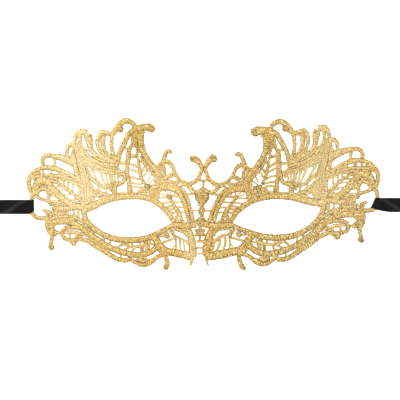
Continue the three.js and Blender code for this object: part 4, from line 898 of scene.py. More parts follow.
class Bench:
    """Lays out shader nodes and joins them up."""

    def __init__(self, tree: bpy.types.NodeTree) -> None:
        """Works on one node tree.

        Args:
            tree: The tree of a material or of a node group.
        """
        self.tree = tree

    def node(self, kind: str, **settings: object) -> bpy.types.Node:
        """Adds a node and sets its options.

        Args:
            kind: The type of node.
            settings: Its options by name.

        Returns:
            The node.
        """
        made = self.tree.nodes.new(kind)
        for key, value in settings.items():
            setattr(made, key, value)
        return made

    def feed(self, value: object, socket: bpy.types.NodeSocket) -> None:
        """Gives a socket its value.

        Args:
            value: Another socket, a number or a colour.
            socket: The socket it goes to.
        """
        if isinstance(value, bpy.types.NodeSocket):
            self.tree.links.new(value, socket)
        elif isinstance(value, tuple):
            socket.default_value = (*value, 1.0)
        else:
            socket.default_value = value

    def math(self, operation: str, *values: object) -> bpy.types.NodeSocket:
        """Adds a Math node.

        Args:
            operation: Its operation, such as ADD.
            values: A socket or a number for each of its inputs.

        Returns:
            The result's socket.
        """
        made = self.node("ShaderNodeMath", operation=operation)
        for socket, value in zip(made.inputs, values):
            self.feed(value, socket)
        return made.outputs[0]

    def times(self, first: object, *others: object) -> bpy.types.NodeSocket:
        """Multiplies values in turn.

        Args:
            first: A socket or a number.
            others: The sockets or numbers it is multiplied by.

        Returns:
            The product's socket.
        """
        for other in others:
            first = self.math("MULTIPLY", first, other)
        return first

    def wave(self, value: bpy.types.NodeSocket, length: float) -> bpy.types.NodeSocket:
        """Adds a sine wave of a given length along a value."""
        return self.math("SINE", self.times(value, 2 * math.pi / length))

    def split(self, vector: bpy.types.NodeSocket) -> bpy.types.NodeOutputs:
        """Splits a vector into its parts.

        Args:
            vector: The vector's socket.

        Returns:
            The sockets X, Y and Z.
        """
        parts = self.node("ShaderNodeSeparateXYZ")
        self.feed(vector, parts.inputs[0])
        return parts.outputs

    def ramp(self, value: bpy.types.NodeSocket, low: float, high: float, start: float = 0.0,
             end: float = 1.0) -> bpy.types.NodeSocket:
        """Eases a value from start to end as it goes from low to high.

        Args:
            value: The value's socket.
            low: Where the change begins.
            high: Where it ends.
            start: What is given at and below low.
            end: What is given at and above high.

        Returns:
            The result's socket.
        """
        made = self.node("ShaderNodeMapRange", interpolation_type="SMOOTHSTEP")
        self.feed(value, made.inputs["Value"])
        for key, number in (("From Min", low), ("From Max", high), ("To Min", start), ("To Max", end)):
            self.feed(number, made.inputs[key])
        return made.outputs["Result"]

    def noise(self, vector: bpy.types.NodeSocket, scale: float, detail: float = 2.0,
              rough: float = 0.5) -> bpy.types.NodeSocket:
        """Adds a noise.

        Args:
            vector: The place.
            scale: Blotches to one unit of the place.
            detail: How many finer layers it has.
            rough: How strong they are.

        Returns:
            The noise's value.
        """
        made = self.node("ShaderNodeTexNoise")
        for key, value in (("Vector", vector), ("Scale", scale), ("Detail", detail), ("Roughness", rough)):
            self.feed(value, made.inputs[key])
        return made.outputs["Fac"]

    def blotches(self, run: bpy.types.NodeSocket, size: Point, detail: float = 2.0,
                 rough: float = 0.5) -> bpy.types.NodeSocket:
        """Adds a noise stretched along a thread or a ribbon.

        Args:
            run: The place along and across it.
            size: Rough size of a blotch along and across it.
            detail: How many finer layers it has.
            rough: How strong they are.

        Returns:
            The noise's value.
        """
        stretch = self.node("ShaderNodeMapping")
        stretch.inputs["Scale"].default_value = (1 / size[0], 1 / size[1], 1.0)
        self.feed(run, stretch.inputs["Vector"])
        return self.noise(stretch.outputs[0], 1.0, detail, rough)

    def mix(self, share: object, first: object, second: object) -> bpy.types.NodeSocket:
        """Mixes two colours.

        Args:
            share: Share of the second one, a socket or a number.
            first: A colour or its socket.
            second: A colour or its socket.

        Returns:
            The mixed colour's socket.
        """
        made = self.node("ShaderNodeMix", data_type="RGBA")
        for number, value in ((0, share), (6, first), (7, second)):
            self.feed(value, made.inputs[number])
        return made.outputs[2]

    def attribute(self, name: str) -> bpy.types.NodeSocket:
        """Reads a number that the mesh holds for each point."""
        return self.node("ShaderNodeAttribute", attribute_name=name).outputs["Fac"]

    def group(self, tree: bpy.types.NodeTree, **values: object) -> bpy.types.NodeOutputs:
        """Adds a node group and fills in its inputs.

        Args:
            tree: The group.
            values: A socket or a number for each input by its name.

        Returns:
            The group's outputs by name.
        """
        made = self.node("ShaderNodeGroup", node_tree=tree)
        for label, value in values.items():
            self.feed(value, made.inputs[label])
        return made.outputs

    def give(self, **results: bpy.types.NodeSocket) -> bpy.types.NodeTree:
        """Sends results to the outputs of this group.

        Args:
            results: The socket of each result by the output's name.

        Returns:
            The finished group.
        """
        told = self.node("NodeGroupOutput")
        for label, result in results.items():
            self.feed(result, told.inputs[label])
        return self.tree

    def surface(self, shader: bpy.types.Node, height: bpy.types.NodeSocket, relief: float,
                strength: float) -> None:
        """Gives a shader its relief and sends it to the surface.

        Args:
            shader: The shader's node.
            height: The height that the relief follows.
            relief: How deep it is, in metres.
            strength: How much of it shows, from 0 to 1.
        """
        bump = self.node("ShaderNodeBump")
        for key, value in (("Distance", relief), ("Strength", strength), ("Height", height)):
            self.feed(value, bump.inputs[key])
        self.feed(bump.outputs["Normal"], shader.inputs["Normal"])
        told = self.node("ShaderNodeOutputMaterial")
        self.feed(shader.outputs["BSDF"], told.inputs["Surface"])


def new_material(name: str) -> bpy.types.Material:
    """Starts a material without any nodes.

    Args:
        name: Name of the material.

    Returns:
        The material.
    """
    material = bpy.data.materials.new(name)
    material.use_nodes = True
    material.node_tree.nodes.clear()
    return material


def new_group(name: str, inputs: dict[str, str],
              outputs: Iterable[str]) -> tuple[Bench, bpy.types.NodeOutputs]:
    """Starts a shader node group.

    Args:
        name: Name of the group.
        inputs: Kind of each input socket by its name.
        outputs: Names of its outputs, which are all numbers.

    Returns:
        The bench for the group's tree, and the sockets of what is given to the group.
    """
    group = bpy.data.node_groups.new(name, "ShaderNodeTree")
    for label, kind in inputs.items():
        group.interface.new_socket(name=label, in_out="INPUT", socket_type=f"NodeSocket{kind}")
    for label in outputs:
        group.interface.new_socket(name=label, in_out="OUTPUT", socket_type="NodeSocketFloat")
    bench = Bench(group)
    return bench, bench.node("NodeGroupInput").outputs


@dataclass(frozen=True)
class StitchRows:
    """The fine threads that lie across a strand, in millimetres of thread run."""

    wander_rate: float = 1.1
    wander: float = 0.5
    thread_relief: float = 0.35
    thread_shade: float = 0.45
    whole_shade: float = 0.69

    def make(self) -> bpy.types.NodeTree:
        """Makes the group.

        Returns:
            A group from thread run and crest to a height and a shade.
        """
        bench, given = new_group("stitch rows", {"Run": "Vector", "Crest": "Float", "Threads": "Float"},
                                 ("Height", "Shade"))
        along = bench.split(given["Run"])["X"]
        wander = bench.times(bench.noise(given["Run"], self.wander_rate), self.wander)
        turns = bench.times(bench.math("ADD", along, wander), given["Threads"])
        # the wave, brought from -1..1 to 0..1
        thread = bench.math("MULTIPLY_ADD", bench.wave(turns, 1.0), 0.5, 0.5)
        height = bench.math("ADD", bench.times(thread, self.thread_relief), given["Crest"])
        shade = bench.math("ADD", bench.times(thread, self.thread_shade), given["Crest"])
        return bench.give(Height=height, Shade=bench.times(shade, self.whole_shade))


@dataclass(frozen=True)
class ThreadSpeckle:
    """The painted glints, the painted shade in the gaps between threads and the mixed colours of metallic
    thread.

    Sizes are in millimetres of thread run, and an Ease says which values of a noise or wave count.
    """

    gap_pitch: float = 1.7
    slip: float = 2.6
    slip_size: Point = (2.6, 2.2)
    gap_size: Point = (1.5, 2.0)
    gap_wave: Ease = (-0.1, 0.9)
    gap_share: Ease = (0.34, 0.56)
    glint_size: Point = (0.8, 1.5)
    glint_share: Ease = (0.53, 0.66)
    colour_size: Point = (1.2, 1.9)
    rose_share: Ease = (0.54, 0.66)
    olive_share: Ease = (0.36, 0.47, 1.0, 0.0)
    rough: float = 0.6

    def make(self) -> bpy.types.NodeTree:
        """Makes the group.

        Returns:
            A group from thread run to masks of painted shade in the gaps, painted glints, rosy and olive
            threads.
        """
        bench, given = new_group("thread speckle", {"Run": "Vector"}, ("Gap", "Glint", "Rose", "Olive"))
        run = given["Run"]
        slip = bench.times(bench.blotches(run, self.slip_size, 1.0), self.slip)
        wave = bench.wave(bench.math("ADD", bench.split(run)["X"], slip), self.gap_pitch)
        coarse = bench.blotches(run, self.gap_size, 2.0, self.rough)
        fine = bench.blotches(run, self.glint_size, 1.5, self.rough)
        blend = bench.blotches(run, self.colour_size, 1.5, self.rough)
        # painted shade in the gaps between threads, in bands across the strand broken by noise
        gap = bench.times(bench.ramp(wave, *self.gap_wave), bench.ramp(coarse, *self.gap_share))
        return bench.give(Gap=gap, Glint=bench.ramp(fine, *self.glint_share),
                          Rose=bench.ramp(blend, *self.rose_share),
                          Olive=bench.ramp(blend, *self.olive_share))


@dataclass(frozen=True)
class ToneDrift:
    """The slow change of tone over the face, in metres: painted light on the wings and nose, painted shade on
    the right cheek.
    """

    cloud_size: float = 0.014
    # painted light: the wings are made paler, the left one more than the right, broken by cloudy noise
    wing_start: Ease = (0.046, 0.078)
    wing_end: Ease = (0.090, 0.116, 1.0, 0.4)
    wing_foot: Ease = (-0.026, 0.0, 0.25, 1.0)
    wing_sides: Ease = (-0.06, 0.06, 1.0, 0.5)
    wing_clouds: Ease = (0.3, 0.6, 0.7, 1.0)
    # painted light: the left of the brow and nose is made paler, as lit from the left
    lit_left_side: Ease = (-0.03, 0.02, 0.48, 0.0)
    lit_left_foot: Ease = (-0.03, -0.014)
    lit_left_top: Ease = (0.014, 0.034, 1.0, 0.0)
    # painted light: the left side of the nose post is made paler
    post_x: float = -0.008
    post_side: Ease = (0.003, 0.010, 0.45, 0.0)
    post_top: Ease = (-0.024, -0.028)
    # painted shade: the right cheek is made darker
    shaded_side: Ease = (-0.02, 0.05)
    shaded_top: Ease = (-0.03, 0.03, 1.0, 0.4)
    warm_clouds: Ease = (0.42, 0.68)
    warm_wing: Ease = (0.0, 0.8, 1.0, 0.25)

    def make(self) -> bpy.types.NodeTree:
        """Makes the group.

        Returns:
            A group from Object coordinates to a warm mask, a mask of painted light and a mask of painted
            shade.
        """
        bench, given = new_group("tone drift", {"Place": "Vector"}, ("Warm", "Pale", "Shaded"))
        place = bench.split(given["Place"])
        x, y = place["X"], place["Y"]
        out = bench.math("ABSOLUTE", x)
        cloud = bench.noise(given["Place"], 1 / self.cloud_size, rough=CLOUD_ROUGH)
        # painted light: where the gold is made paler, on the wings, the left of the brow and nose and the
        # nose post
        wing = bench.times(bench.ramp(out, *self.wing_start), bench.ramp(out, *self.wing_end),
                           bench.ramp(y, *self.wing_foot))
        lit_left = bench.times(bench.ramp(x, *self.lit_left_side), bench.ramp(y, *self.lit_left_foot),
                           bench.ramp(y, *self.lit_left_top))
        from_post = bench.math("ABSOLUTE", bench.math("SUBTRACT", x, self.post_x))
        post = bench.times(bench.ramp(from_post, *self.post_side), bench.ramp(y, *self.post_top))
        pale = bench.times(wing, bench.ramp(x, *self.wing_sides), bench.ramp(cloud, *self.wing_clouds))
        pale = bench.math("MAXIMUM", pale, bench.math("MAXIMUM", lit_left, post))
        # painted shade on the right cheek
        shaded = bench.times(bench.ramp(x, *self.shaded_side), bench.ramp(y, *self.shaded_top))
        warm = bench.times(bench.ramp(cloud, *self.warm_clouds), bench.ramp(wing, *self.warm_wing))
        return bench.give(Warm=warm, Pale=pale, Shaded=shaded)


@dataclass(frozen=True)
class SatinWeave:
    """The fine weave of satin, in millimetres of ribbon run, and the painted sheen that runs slantwise over
    it.

    Where the sheen starts and how it slants are told by the distance out, in metres.
    """

    warp_pitch: float = 0.16
    weft_pitch: float = 0.5
    weft_share: float = 0.4
    slub_size: Point = (1 / 0.12, 1 / 3)
    sheen_start: Ease = (0.1215, 0.1255)
    sheen_course: Ease = (0.120, 0.144, -0.5, 10.3)
    sheen_width: Ease = (0.2, 2.6, 1.0, 0.0)
    sheen_streaks: Ease = (0.35, 0.6, 0.55, 1.0)

    def make(self) -> bpy.types.NodeTree:
        """Makes the group.

        Returns:
            A group from ribbon run and Object coordinates to a height, a slub and a sheen mask.
        """
        bench, given = new_group("satin weave", {"Run": "Vector", "Place": "Vector"},
                                 ("Height", "Slub", "Sheen"))
        run = bench.split(given["Run"])
        out = bench.math("ABSOLUTE", bench.split(given["Place"])["X"])
        weft = bench.times(bench.wave(run["X"], self.weft_pitch), self.weft_share)
        slub = bench.blotches(given["Run"], self.slub_size)
        # painted sheen: a soft streak that slants across the ribbon just outside the loop, broken by the slub
        course = bench.ramp(out, *self.sheen_course)
        from_course = bench.math("ABSOLUTE", bench.math("SUBTRACT", run["Y"], course))
        sheen = bench.times(bench.ramp(from_course, *self.sheen_width),
                            bench.ramp(out, *self.sheen_start), bench.ramp(slub, *self.sheen_streaks))
        return bench.give(Height=bench.math("ADD", bench.wave(run["Y"], self.warp_pitch), weft),
                          Slub=slub, Sheen=sheen)


@dataclass(frozen=True)
class GoldThread:
    """Stitched metallic thread, with painted shade in the gaps between threads and painted glints.

    A field that ends in _share says how strongly its colour or its darkness comes in. The eases say
    how the painted shade between stitches and on the edges and the painted glints follow their masks.
    """

    name: str
    mid: Colour = (0.67, 0.45, 0.115)
    # deep is the painted shade colour of the dips, gaps and edges and of the right cheek; shadow darkens that
    # shade more on the right cheek
    deep: Colour = (0.19, 0.108, 0.013)
    shadow: Colour = (0.09, 0.048, 0.006)
    # the colour of the painted glints
    painted_glint: Colour = (1.0, 0.88, 0.52)
    # the colour of the gold where painted light makes it paler
    pale: Colour = (0.86, 0.74, 0.47)
    warm: Colour = (0.72, 0.42, 0.09)
    rose: Colour = (0.86, 0.56, 0.29)
    olive: Colour = (0.44, 0.36, 0.07)
    threads: float = 4.4
    # how strongly painted shade comes in, in the gaps between threads and on the edges of a strand
    gap: float = 0.85
    outline: float = 0.45
    painted_light_share: float = 1.0
    warm_share: float = 0.5
    rose_share: float = 0.4
    olive_share: float = 0.35
    shaded_share: float = 0.09
    pale_gap_share: float = 0.75
    # where painted shade comes in between stitches and on the edges of a strand
    sunk_shade: Ease = (0.0, 0.7, 0.5, 0.0)
    flank: Ease = (0.5, 0.98)
    glint: Ease = (0.0, 1.0, 0.55, 0.7)
    metallic: float = 0.5
    roughness: float = 0.42
    glint_polish: float = 0.1
    relief: float = 0.00012
    relief_strength: float = 0.8

    def make(self, groups: dict[str, bpy.types.NodeTree]) -> bpy.types.Material:
        """Makes the material.

        Args:
            groups: The shared node groups by name.

        Returns:
            The material.
        """
        material = new_material(self.name)
        bench = Bench(material.node_tree)
        run = bench.node("ShaderNodeUVMap", uv_map="thread_run").outputs["UV"]
        rows = bench.group(groups["rows"], Run=run, Crest=bench.attribute("crest"), Threads=self.threads)
        speckle = bench.group(groups["speckle"], Run=run)
        tone = bench.group(groups["tone"], Place=bench.node("ShaderNodeTexCoord").outputs["Object"])
        # painted light: the gold is made paler where the tone group lights it, by this material's share
        pale = bench.times(tone["Pale"], self.painted_light_share)
        base = bench.mix(pale, self.mid, self.pale)
        for mask, share, colour in ((tone["Warm"], self.warm_share, self.warm),
                                    (speckle["Rose"], self.rose_share, self.rose),
                                    (speckle["Olive"], self.olive_share, self.olive),
                                    (tone["Shaded"], self.shaded_share, self.deep)):
            base = bench.mix(bench.times(mask, share), base, colour)
        # the colour of the painted shade: darker on the right cheek, and lifted towards mid under painted
        # light
        dark = bench.mix(tone["Shaded"], self.deep, self.shadow)
        dark = bench.mix(bench.times(pale, self.pale_gap_share), dark, self.mid)
        # painted shade: the gold is darkened in the dips between stitches, in the gaps between threads and on
        # the edges of each strand
        for share in (bench.ramp(rows["Shade"], *self.sunk_shade), bench.times(speckle["Gap"], self.gap),
                      bench.times(bench.ramp(bench.attribute("flank"), *self.flank), self.outline)):
            base = bench.mix(share, base, dark)
        # painted glints: highlights of the metallic thread mixed into its colour, a little more of them on
        # the right side
        glint = bench.times(speckle["Glint"], bench.ramp(tone["Shaded"], *self.glint))
        shader = bench.node("ShaderNodeBsdfPrincipled")
        bench.feed(self.metallic, shader.inputs["Metallic"])
        bench.feed(bench.mix(glint, base, self.painted_glint), shader.inputs["Base Color"])
        bench.feed(bench.ramp(speckle["Glint"], 0, 1, self.roughness + self.glint_polish,
                              self.roughness - self.glint_polish), shader.inputs["Roughness"])
        bench.surface(shader, rows["Height"], self.relief, self.relief_strength)
        return material


@dataclass(frozen=True)
class BlackSatin:
    """Black satin ribbon with a fine weave and a soft painted sheen along it."""

    name: str = "black_satin_ribbon"
    dark: Colour = (0.002, 0.002, 0.0024)
    light: Colour = (0.005, 0.005, 0.006)
    # the colour of the painted sheen
    sheen: Colour = (0.024, 0.023, 0.025)
    specular: float = 0.08
    anisotropic: float = 0.5
    roughness: Ease = (0.3, 0.7, 0.31, 0.42)
    relief: float = 0.00003
    relief_strength: float = 0.5

    def make(self, groups: dict[str, bpy.types.NodeTree]) -> bpy.types.Material:
        """Makes the material.

        Args:
            groups: The shared node groups by name.

        Returns:
            The material.
        """
        material = new_material(self.name)
        bench = Bench(material.node_tree)
        weave = bench.group(groups["weave"],
                            Run=bench.node("ShaderNodeUVMap", uv_map="ribbon_run").outputs["UV"],
                            Place=bench.node("ShaderNodeTexCoord").outputs["Object"])
        cloth = bench.mix(weave["Slub"], self.dark, self.light)
        shader = bench.node("ShaderNodeBsdfPrincipled")
        bench.feed(self.specular, shader.inputs["Specular IOR Level"])
        bench.feed(self.anisotropic, shader.inputs["Anisotropic"])
        # painted sheen: a lighter slanting streak mixed into the satin's colour
        bench.feed(bench.mix(weave["Sheen"], cloth, self.sheen), shader.inputs["Base Color"])
        bench.feed(bench.ramp(weave["Slub"], *self.roughness), shader.inputs["Roughness"])
        bench.surface(shader, weave["Height"], self.relief, self.relief_strength)
        return material


@dataclass(frozen=True)
class LaceHalf:
    """The stitched lace of one half of the face."""

    side: Side
    lie: ClothLie
    seed: int

    def build(self, finishes: dict[Stitch, bpy.types.Material]) -> list[bpy.types.Object]:
        """Stitches the cords, fills, knots and bars of this half.

        Args:
            finishes: The gold material of each kind of stitch.

        Returns:
            The pieces.
        """
        work = {
            Stitch.CORD: [*CORDS, DROPS[self.side]],
            Stitch.FILL: [*FILLS, *(RIGHT_FILLS if self.side is Side.RIGHT else ())],
            Stitch.KNOT: [knot_strand(knot) for knot in (*KNOTS, DROP_KNOTS[self.side])],
            Stitch.BAR: [*BARS, *(strand for ladder in LADDERS for strand in ladder_strands(ladder))],
        }
        return [self._piece(stitch, strands, self.seed + number, finishes[stitch])
                for number, (stitch, strands) in enumerate(work.items(), 1)]

    def _piece(self, stitch: Stitch, strands: Iterable[Strand], seed: int,
               finish: bpy.types.Material) -> bpy.types.Object:
        """Stitches one piece of this half and dresses it.

        Args:
            stitch: How its strands are stitched.
            strands: The strands.
            seed: Start of their unevenness.
            finish: The material.

        Returns:
            The piece.
        """
        work = ThreadWork(self.lie, seed)
        crown = KNOT_CROWN if stitch is Stitch.KNOT else 0.0
        for strand in strands:
            work.stitch(self.side.value, strand, stitch, crown)
        piece = work.build(f"lace_{stitch.word}_{self.side.word}")
        piece.data.materials.append(finish)
        return piece


@dataclass(frozen=True)
class CentreOrnament:
    """The heart, oval ring, lozenge and star on the centre line."""

    lie: ClothLie
    seed: int
    crown: float = 0.3
    lozenge_crown: float = 0.2
    star_middle: float = 1.9
    star_ray: tuple[float, ...] = (2.8, 2.4, 1.1)

    def build(self, finish: bpy.types.Material) -> bpy.types.Object:
        """Stitches the ornament.

        Args:
            finish: The gold material.

        Returns:
            The piece.
        """
        work = ThreadWork(self.lie, self.seed)
        for link in LINKS:
            work.stitch(1, link, Stitch.CORD)
        work.stitch(1, HEART, Stitch.KNOT, self.crown)
        work.stitch(1, LOZENGE, Stitch.KNOT, self.lozenge_crown)
        work.stitch(1, self._oval(), Stitch.CORD)
        middle = Knot("star_middle", self.star_middle, (0, STAR_V))
        for part in (*self._star(), knot_strand(middle)):
            work.stitch(1, part, Stitch.KNOT, self.crown)
        piece = work.build("lace_centre")
        piece.data.materials.append(finish)
        return piece

    @staticmethod
    def _oval() -> Strand:
        """Gives the cord that goes round the oval ring once and laps over its own start.

        Returns:
            The cord, which starts at the top.
        """
        angles = [math.radians(degrees) for degrees in range(95, 471, 15)]
        rx, ry = OVAL_RADII
        route = tuple((rx * math.cos(a), OVAL_MIDDLE_V + ry * math.sin(a)) for a in angles)
        return Strand("oval", (OVAL_CORD, OVAL_CORD), route)

    def _star(self) -> list[Strand]:
        """Gives the pointed rays of the star.

        Returns:
            One strand for each ray, from the middle to its tip.
        """
        rays = []
        for i in range(STAR_LOBES):
            a = math.pi / 2 + 2 * math.pi * i / STAR_LOBES
            tip = (STAR_REACH * math.cos(a), STAR_V + STAR_REACH * math.sin(a))
            rays.append(Strand(f"star_ray_{i + 1}", self.star_ray, ((0, STAR_V), tip)))
        return rays


@dataclass(frozen=True)
class RibbonTie:
    """A satin ribbon, folded round the side loop, sewn to itself, run out flat and rolled up.

    Lengths are in millimetres. A name that ends in _u is a distance out from the centre line, and
    over_seam holds distances past the seam with the height of the ribbon's middle there. Edges
    sharper than the crease, in degrees, are shaded sharp.
    """

    side: Side
    fold_u: float
    top_v: float
    slant: float
    gather: float
    opens_over: float
    width: float = 10.0
    length: float = 320.0
    thickness: float = 0.34
    low: float = 0.19
    high: float = 2.80
    fold_room: float = 0.2
    bend_radius: float = 0.9
    bend_degrees: tuple[int, int, int] = (255, 104, -15)
    over_loop: float = 5.2
    sewn_u: float = 129.0
    sewn_end: float = 1.4
    over_seam: Route = ((-2.2, 1.12), (0.0, 0.64), (1.8, 0.5), (4.0, 0.24), (6.0, 0.19))
    roll_u: float = 156.0
    roll_radius: float = 8.2
    roll_pitch: float = 0.75
    roll_steps: int = 30
    core_radius: float = 0.6
    slant_power: float = 1.3
    pleat: float = 0.16
    pleats: float = 1.5
    pleat_start: float = 0.6
    pleat_above: float = 1.2
    cell_length: float = 0.45
    cells_across: int = 12
    crease: float = 50.0

    def path(self) -> np.ndarray:
        """Gives the side view of the ribbon's middle, from its sewn end to the heart of the roll.

        Returns:
            Distance out and height of closely spaced points.
        """
        # Points between two ends keep the line straight where the ribbon is flat or goes over the loop.
        inner = self.fold_u + self.fold_room
        under = [self.sewn_u + self.sewn_end, self.sewn_u - 3, inner + 3, inner + 1.2]
        points = [(u, self.low) for u in under]
        middle, radius = (self.low + self.high) / 2, (self.high - self.low) / 2
        for degrees in range(*self.bend_degrees):
            a = math.radians(degrees)
            points.append((inner + self.bend_radius * (1 + math.cos(a)), middle + radius * math.sin(a)))
        points += [(inner + 1.6, self.high), (self.fold_u + 3.4, self.high),
                   (self.fold_u + self.over_loop, self.high - 0.05)]
        points += [(self.sewn_u + past, up) for past, up in self.over_seam]
        points += [(self.roll_u - 6, self.low), (self.roll_u, self.low)]
        line = smooth_line(np.array(points), 0.3)
        turns = self._turns(self.length - distances(line)[-1])
        a = np.linspace(0, turns * 2 * math.pi, int(turns * self.roll_steps))[1:]
        r = self.roll_radius - self.roll_pitch * a / (2 * math.pi)
        roll = np.stack([self.roll_u + r * np.sin(a), self.low + self.roll_radius - r * np.cos(a)], axis=1)
        return np.vstack([line, roll])

    def _turns(self, wound: float) -> float:
        """Gives the number of turns of the roll that take up a length of ribbon.

        Args:
            wound: The length of ribbon.

        Returns:
            The number of turns.
        """
        start = self.roll_radius
        end = math.sqrt(max(start**2 - wound * self.roll_pitch / math.pi, self.core_radius**2))
        return (start - end) / self.roll_pitch

    def _lay(self, out: np.ndarray, up: np.ndarray, down: np.ndarray) -> np.ndarray:
        """Lays points of the ribbon in space, gathered and pleated where it goes over the loop.

        Args:
            out: Distance out of each point.
            up: Height of the ribbon's middle there.
            down: Share of the width that lies above the point.

        Returns:
            The place of each point, in metres.
        """
        opened = np.clip((out - self.fold_u) / self.opens_over, 0, 1)
        share = 1 - (1 - self.gather) * (1 - opened) ** 2
        lean = self.slant * down**self.slant_power * (1 - smooth(self.fold_u, self.sewn_u, out))
        fold = self.pleat * np.sin(down * 2 * math.pi * self.pleats + self.pleat_start)
        fold = fold * (1 - share) / (1 - self.gather)
        z = up + np.where(up > self.pleat_above, fold, 0)
        y = self.top_v - down * self.width * share
        return np.stack([self.side.value * (out - lean), y, z], axis=1) * MM

    def build(self, finish: bpy.types.Material) -> bpy.types.Object:
        """Shapes the ribbon from a flat grid and gives it its thickness.

        Args:
            finish: The satin.

        Returns:
            The piece.
        """
        line = self.path()
        along = distances(line)
        keep = [0]
        for i in range(1, len(line)):
            if along[i] - along[keep[-1]] > self.cell_length or i == len(line) - 1:
                keep.append(i)
        line, along = line[keep], along[keep]
        bpy.ops.object.select_all(action="DESELECT")
        bpy.ops.mesh.primitive_grid_add(x_subdivisions=len(line) - 1, y_subdivisions=self.cells_across,
                                        size=2)
        piece = bpy.context.object
        piece.name = piece.data.name = f"satin_{self.side.word}"
        mesh = piece.data
        flat = np.zeros(len(mesh.vertices) * 3, np.float32)
        mesh.vertices.foreach_get("co", flat)
        flat = flat.reshape(-1, 3)
        ring = np.rint((flat[:, 0] + 1) / 2 * (len(line) - 1)).astype(int)
        down = (1 - flat[:, 1]) / 2
        placed = self._lay(line[ring, 0], line[ring, 1], down)
        mesh.vertices.foreach_set("co", placed.astype(np.float32).ravel())
        layer = mesh.uv_layers.active or mesh.uv_layers.new()
        layer.name = "ribbon_run"
        corners = np.zeros(len(mesh.loops), np.int32)
        mesh.loops.foreach_get("vertex_index", corners)
        run = np.stack([along[ring], down * self.width], axis=1)
        layer.data.foreach_set("uv", run[corners].astype(np.float32).ravel())
        if self.side is Side.RIGHT:
            mesh.flip_normals()
        mesh.update()
        solid = piece.modifiers.new("cloth", "SOLIDIFY")
        solid.thickness = self.thickness * MM
        solid.offset = 0
        bpy.ops.object.modifier_apply(modifier=solid.name)
        bpy.ops.object.shade_smooth_by_angle(angle=math.radians(self.crease))
        piece.data.materials.append(finish)
        return piece


@dataclass(frozen=True)
class Lamp:
    """A square soft light: where it hangs, its side and its power in watts."""

    name: str
    place: Spot
    size: float
    power: float

    def hang(self) -> None:
        """Hangs the light so that it faces the mask."""
        data = bpy.data.lights.new(self.name, "AREA")
        data.size = self.size
        data.energy = self.power
        lamp = bpy.data.objects.new(self.name, data)
        x, y, z = self.place
        lamp.location = self.place
        lamp.rotation_euler = (math.atan2(math.hypot(x, y), z), 0, math.atan2(y, x) + math.pi / 2)
        bpy.context.scene.collection.objects.link(lamp)


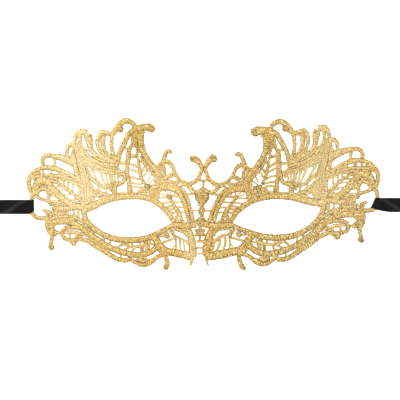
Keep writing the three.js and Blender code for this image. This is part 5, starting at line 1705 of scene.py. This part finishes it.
@dataclass(frozen=True)
class Studio:
    """The white table, the soft light and the camera straight above it."""

    middle: Point = (-0.0021, -0.0042)
    view_width: float = 0.280
    camera_height: float = 1.2
    film_width: float = 36.0
    lamps: tuple[Lamp, ...] = (Lamp("key", (-0.55, 0.45, 1.0), 0.7, 9.0),
                               Lamp("fill", (0.7, -0.3, 1.1), 1.0, 5.0))
    room_light: float = 0.80
    table_size: float = 3.0
    table_top: float = -0.00006
    table_grey: tuple[Colour, Colour] = ((0.90, 0.90, 0.90), (0.93, 0.93, 0.93))
    table_glow: Colour = (1.0, 0.95, 0.87)
    table_looks: tuple[tuple[str, float], ...] = (("Roughness", 0.8), ("Specular IOR Level", 0.1),
                                                  ("Emission Strength", 0.66))
    patch_size: float = 0.060

    def build(self) -> None:
        """Sets up the table, the lights and the camera."""
        self._table()
        for lamp in self.lamps:
            lamp.hang()
        world = bpy.data.worlds.new("soft white room")
        world.use_nodes = True
        back = world.node_tree.nodes["Background"]
        back.inputs["Color"].default_value = (1.0, 1.0, 1.0, 1.0)
        back.inputs["Strength"].default_value = self.room_light
        bpy.context.scene.world = world
        bpy.context.scene.view_settings.view_transform = "Standard"
        self._camera()

    def _table(self) -> None:
        """Lays the white table top under the mask."""
        bpy.ops.object.select_all(action="DESELECT")
        bpy.ops.mesh.primitive_plane_add(size=self.table_size, location=(0, 0, self.table_top))
        table = bpy.context.object
        table.name = "table"
        material = bpy.data.materials.new("white_table")
        material.use_nodes = True
        bench = Bench(material.node_tree)
        shader = bench.tree.nodes["Principled BSDF"]
        place = bench.node("ShaderNodeTexCoord").outputs["Object"]
        patches = bench.noise(place, 1 / self.patch_size, 3.0, CLOUD_ROUGH)
        bench.feed(bench.mix(patches, *self.table_grey), shader.inputs["Base Color"])
        bench.feed(self.table_glow, shader.inputs["Emission Color"])
        for key, number in self.table_looks:
            bench.feed(number, shader.inputs[key])
        table.data.materials.append(material)

    def _camera(self) -> None:
        """Puts the camera straight above the mask, with the brow at the top of the picture."""
        data = bpy.data.cameras.new("camera")
        data.sensor_width = self.film_width
        data.lens = self.film_width * self.camera_height / self.view_width
        data.clip_start = 0.01
        camera = bpy.data.objects.new("camera", data)
        camera.location = (*self.middle, self.camera_height)
        bpy.context.scene.collection.objects.link(camera)
        bpy.context.scene.camera = camera


def main() -> None:
    """Builds the mask, its ribbons and the studio."""
    logging.basicConfig(level=logging.INFO, format="%(name)s: %(message)s")
    bpy.ops.object.select_all(action="DESELECT")
    Studio().build()
    lie = ClothLie()
    groups = {"rows": StitchRows().make(), "speckle": ThreadSpeckle().make(), "tone": ToneDrift().make(),
              "weave": SatinWeave().make()}
    finishes = {
        Stitch.CORD: GoldThread("gold_cord", painted_light_share=0.8, outline=0.8).make(groups),
        Stitch.FILL: GoldThread("gold_fill", mid=(0.70, 0.49, 0.16), gap=0.7, threads=5.0).make(groups),
        Stitch.BAR: GoldThread("gold_bar", mid=(0.64, 0.43, 0.14), gap=0.4, threads=2.6).make(groups),
        Stitch.KNOT: GoldThread("gold_knot", mid=(0.54, 0.355, 0.08), gap=1.0, outline=0.75,
                                painted_light_share=0.35).make(groups),
    }
    pieces = [*LaceHalf(Side.LEFT, lie, seed=10).build(finishes),
              *LaceHalf(Side.RIGHT, lie, seed=20).build(finishes),
              CentreOrnament(lie, seed=31).build(finishes[Stitch.KNOT])]
    for piece in pieces:
        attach(piece, "root")
        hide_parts("lace")
        LOG.info("%s: %d faces", piece.name, len(piece.data.polygons))
    satin = BlackSatin().make(groups)
    ties = [RibbonTie(Side.LEFT, fold_u=118.1, top_v=-4.05, slant=0.2, gather=0.74, opens_over=4.5),
            RibbonTie(Side.RIGHT, fold_u=120.0, top_v=-2.7, slant=2.9, gather=0.66, opens_over=12.0)]
    for tie in ties:
        ribbon = tie.build(satin)
        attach(ribbon, "root")
        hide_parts(f"ribbon_{tie.side.word}")
        LOG.info("%s: %d faces", ribbon.name, len(ribbon.data.polygons))


if __name__ == "__main__":
    main()
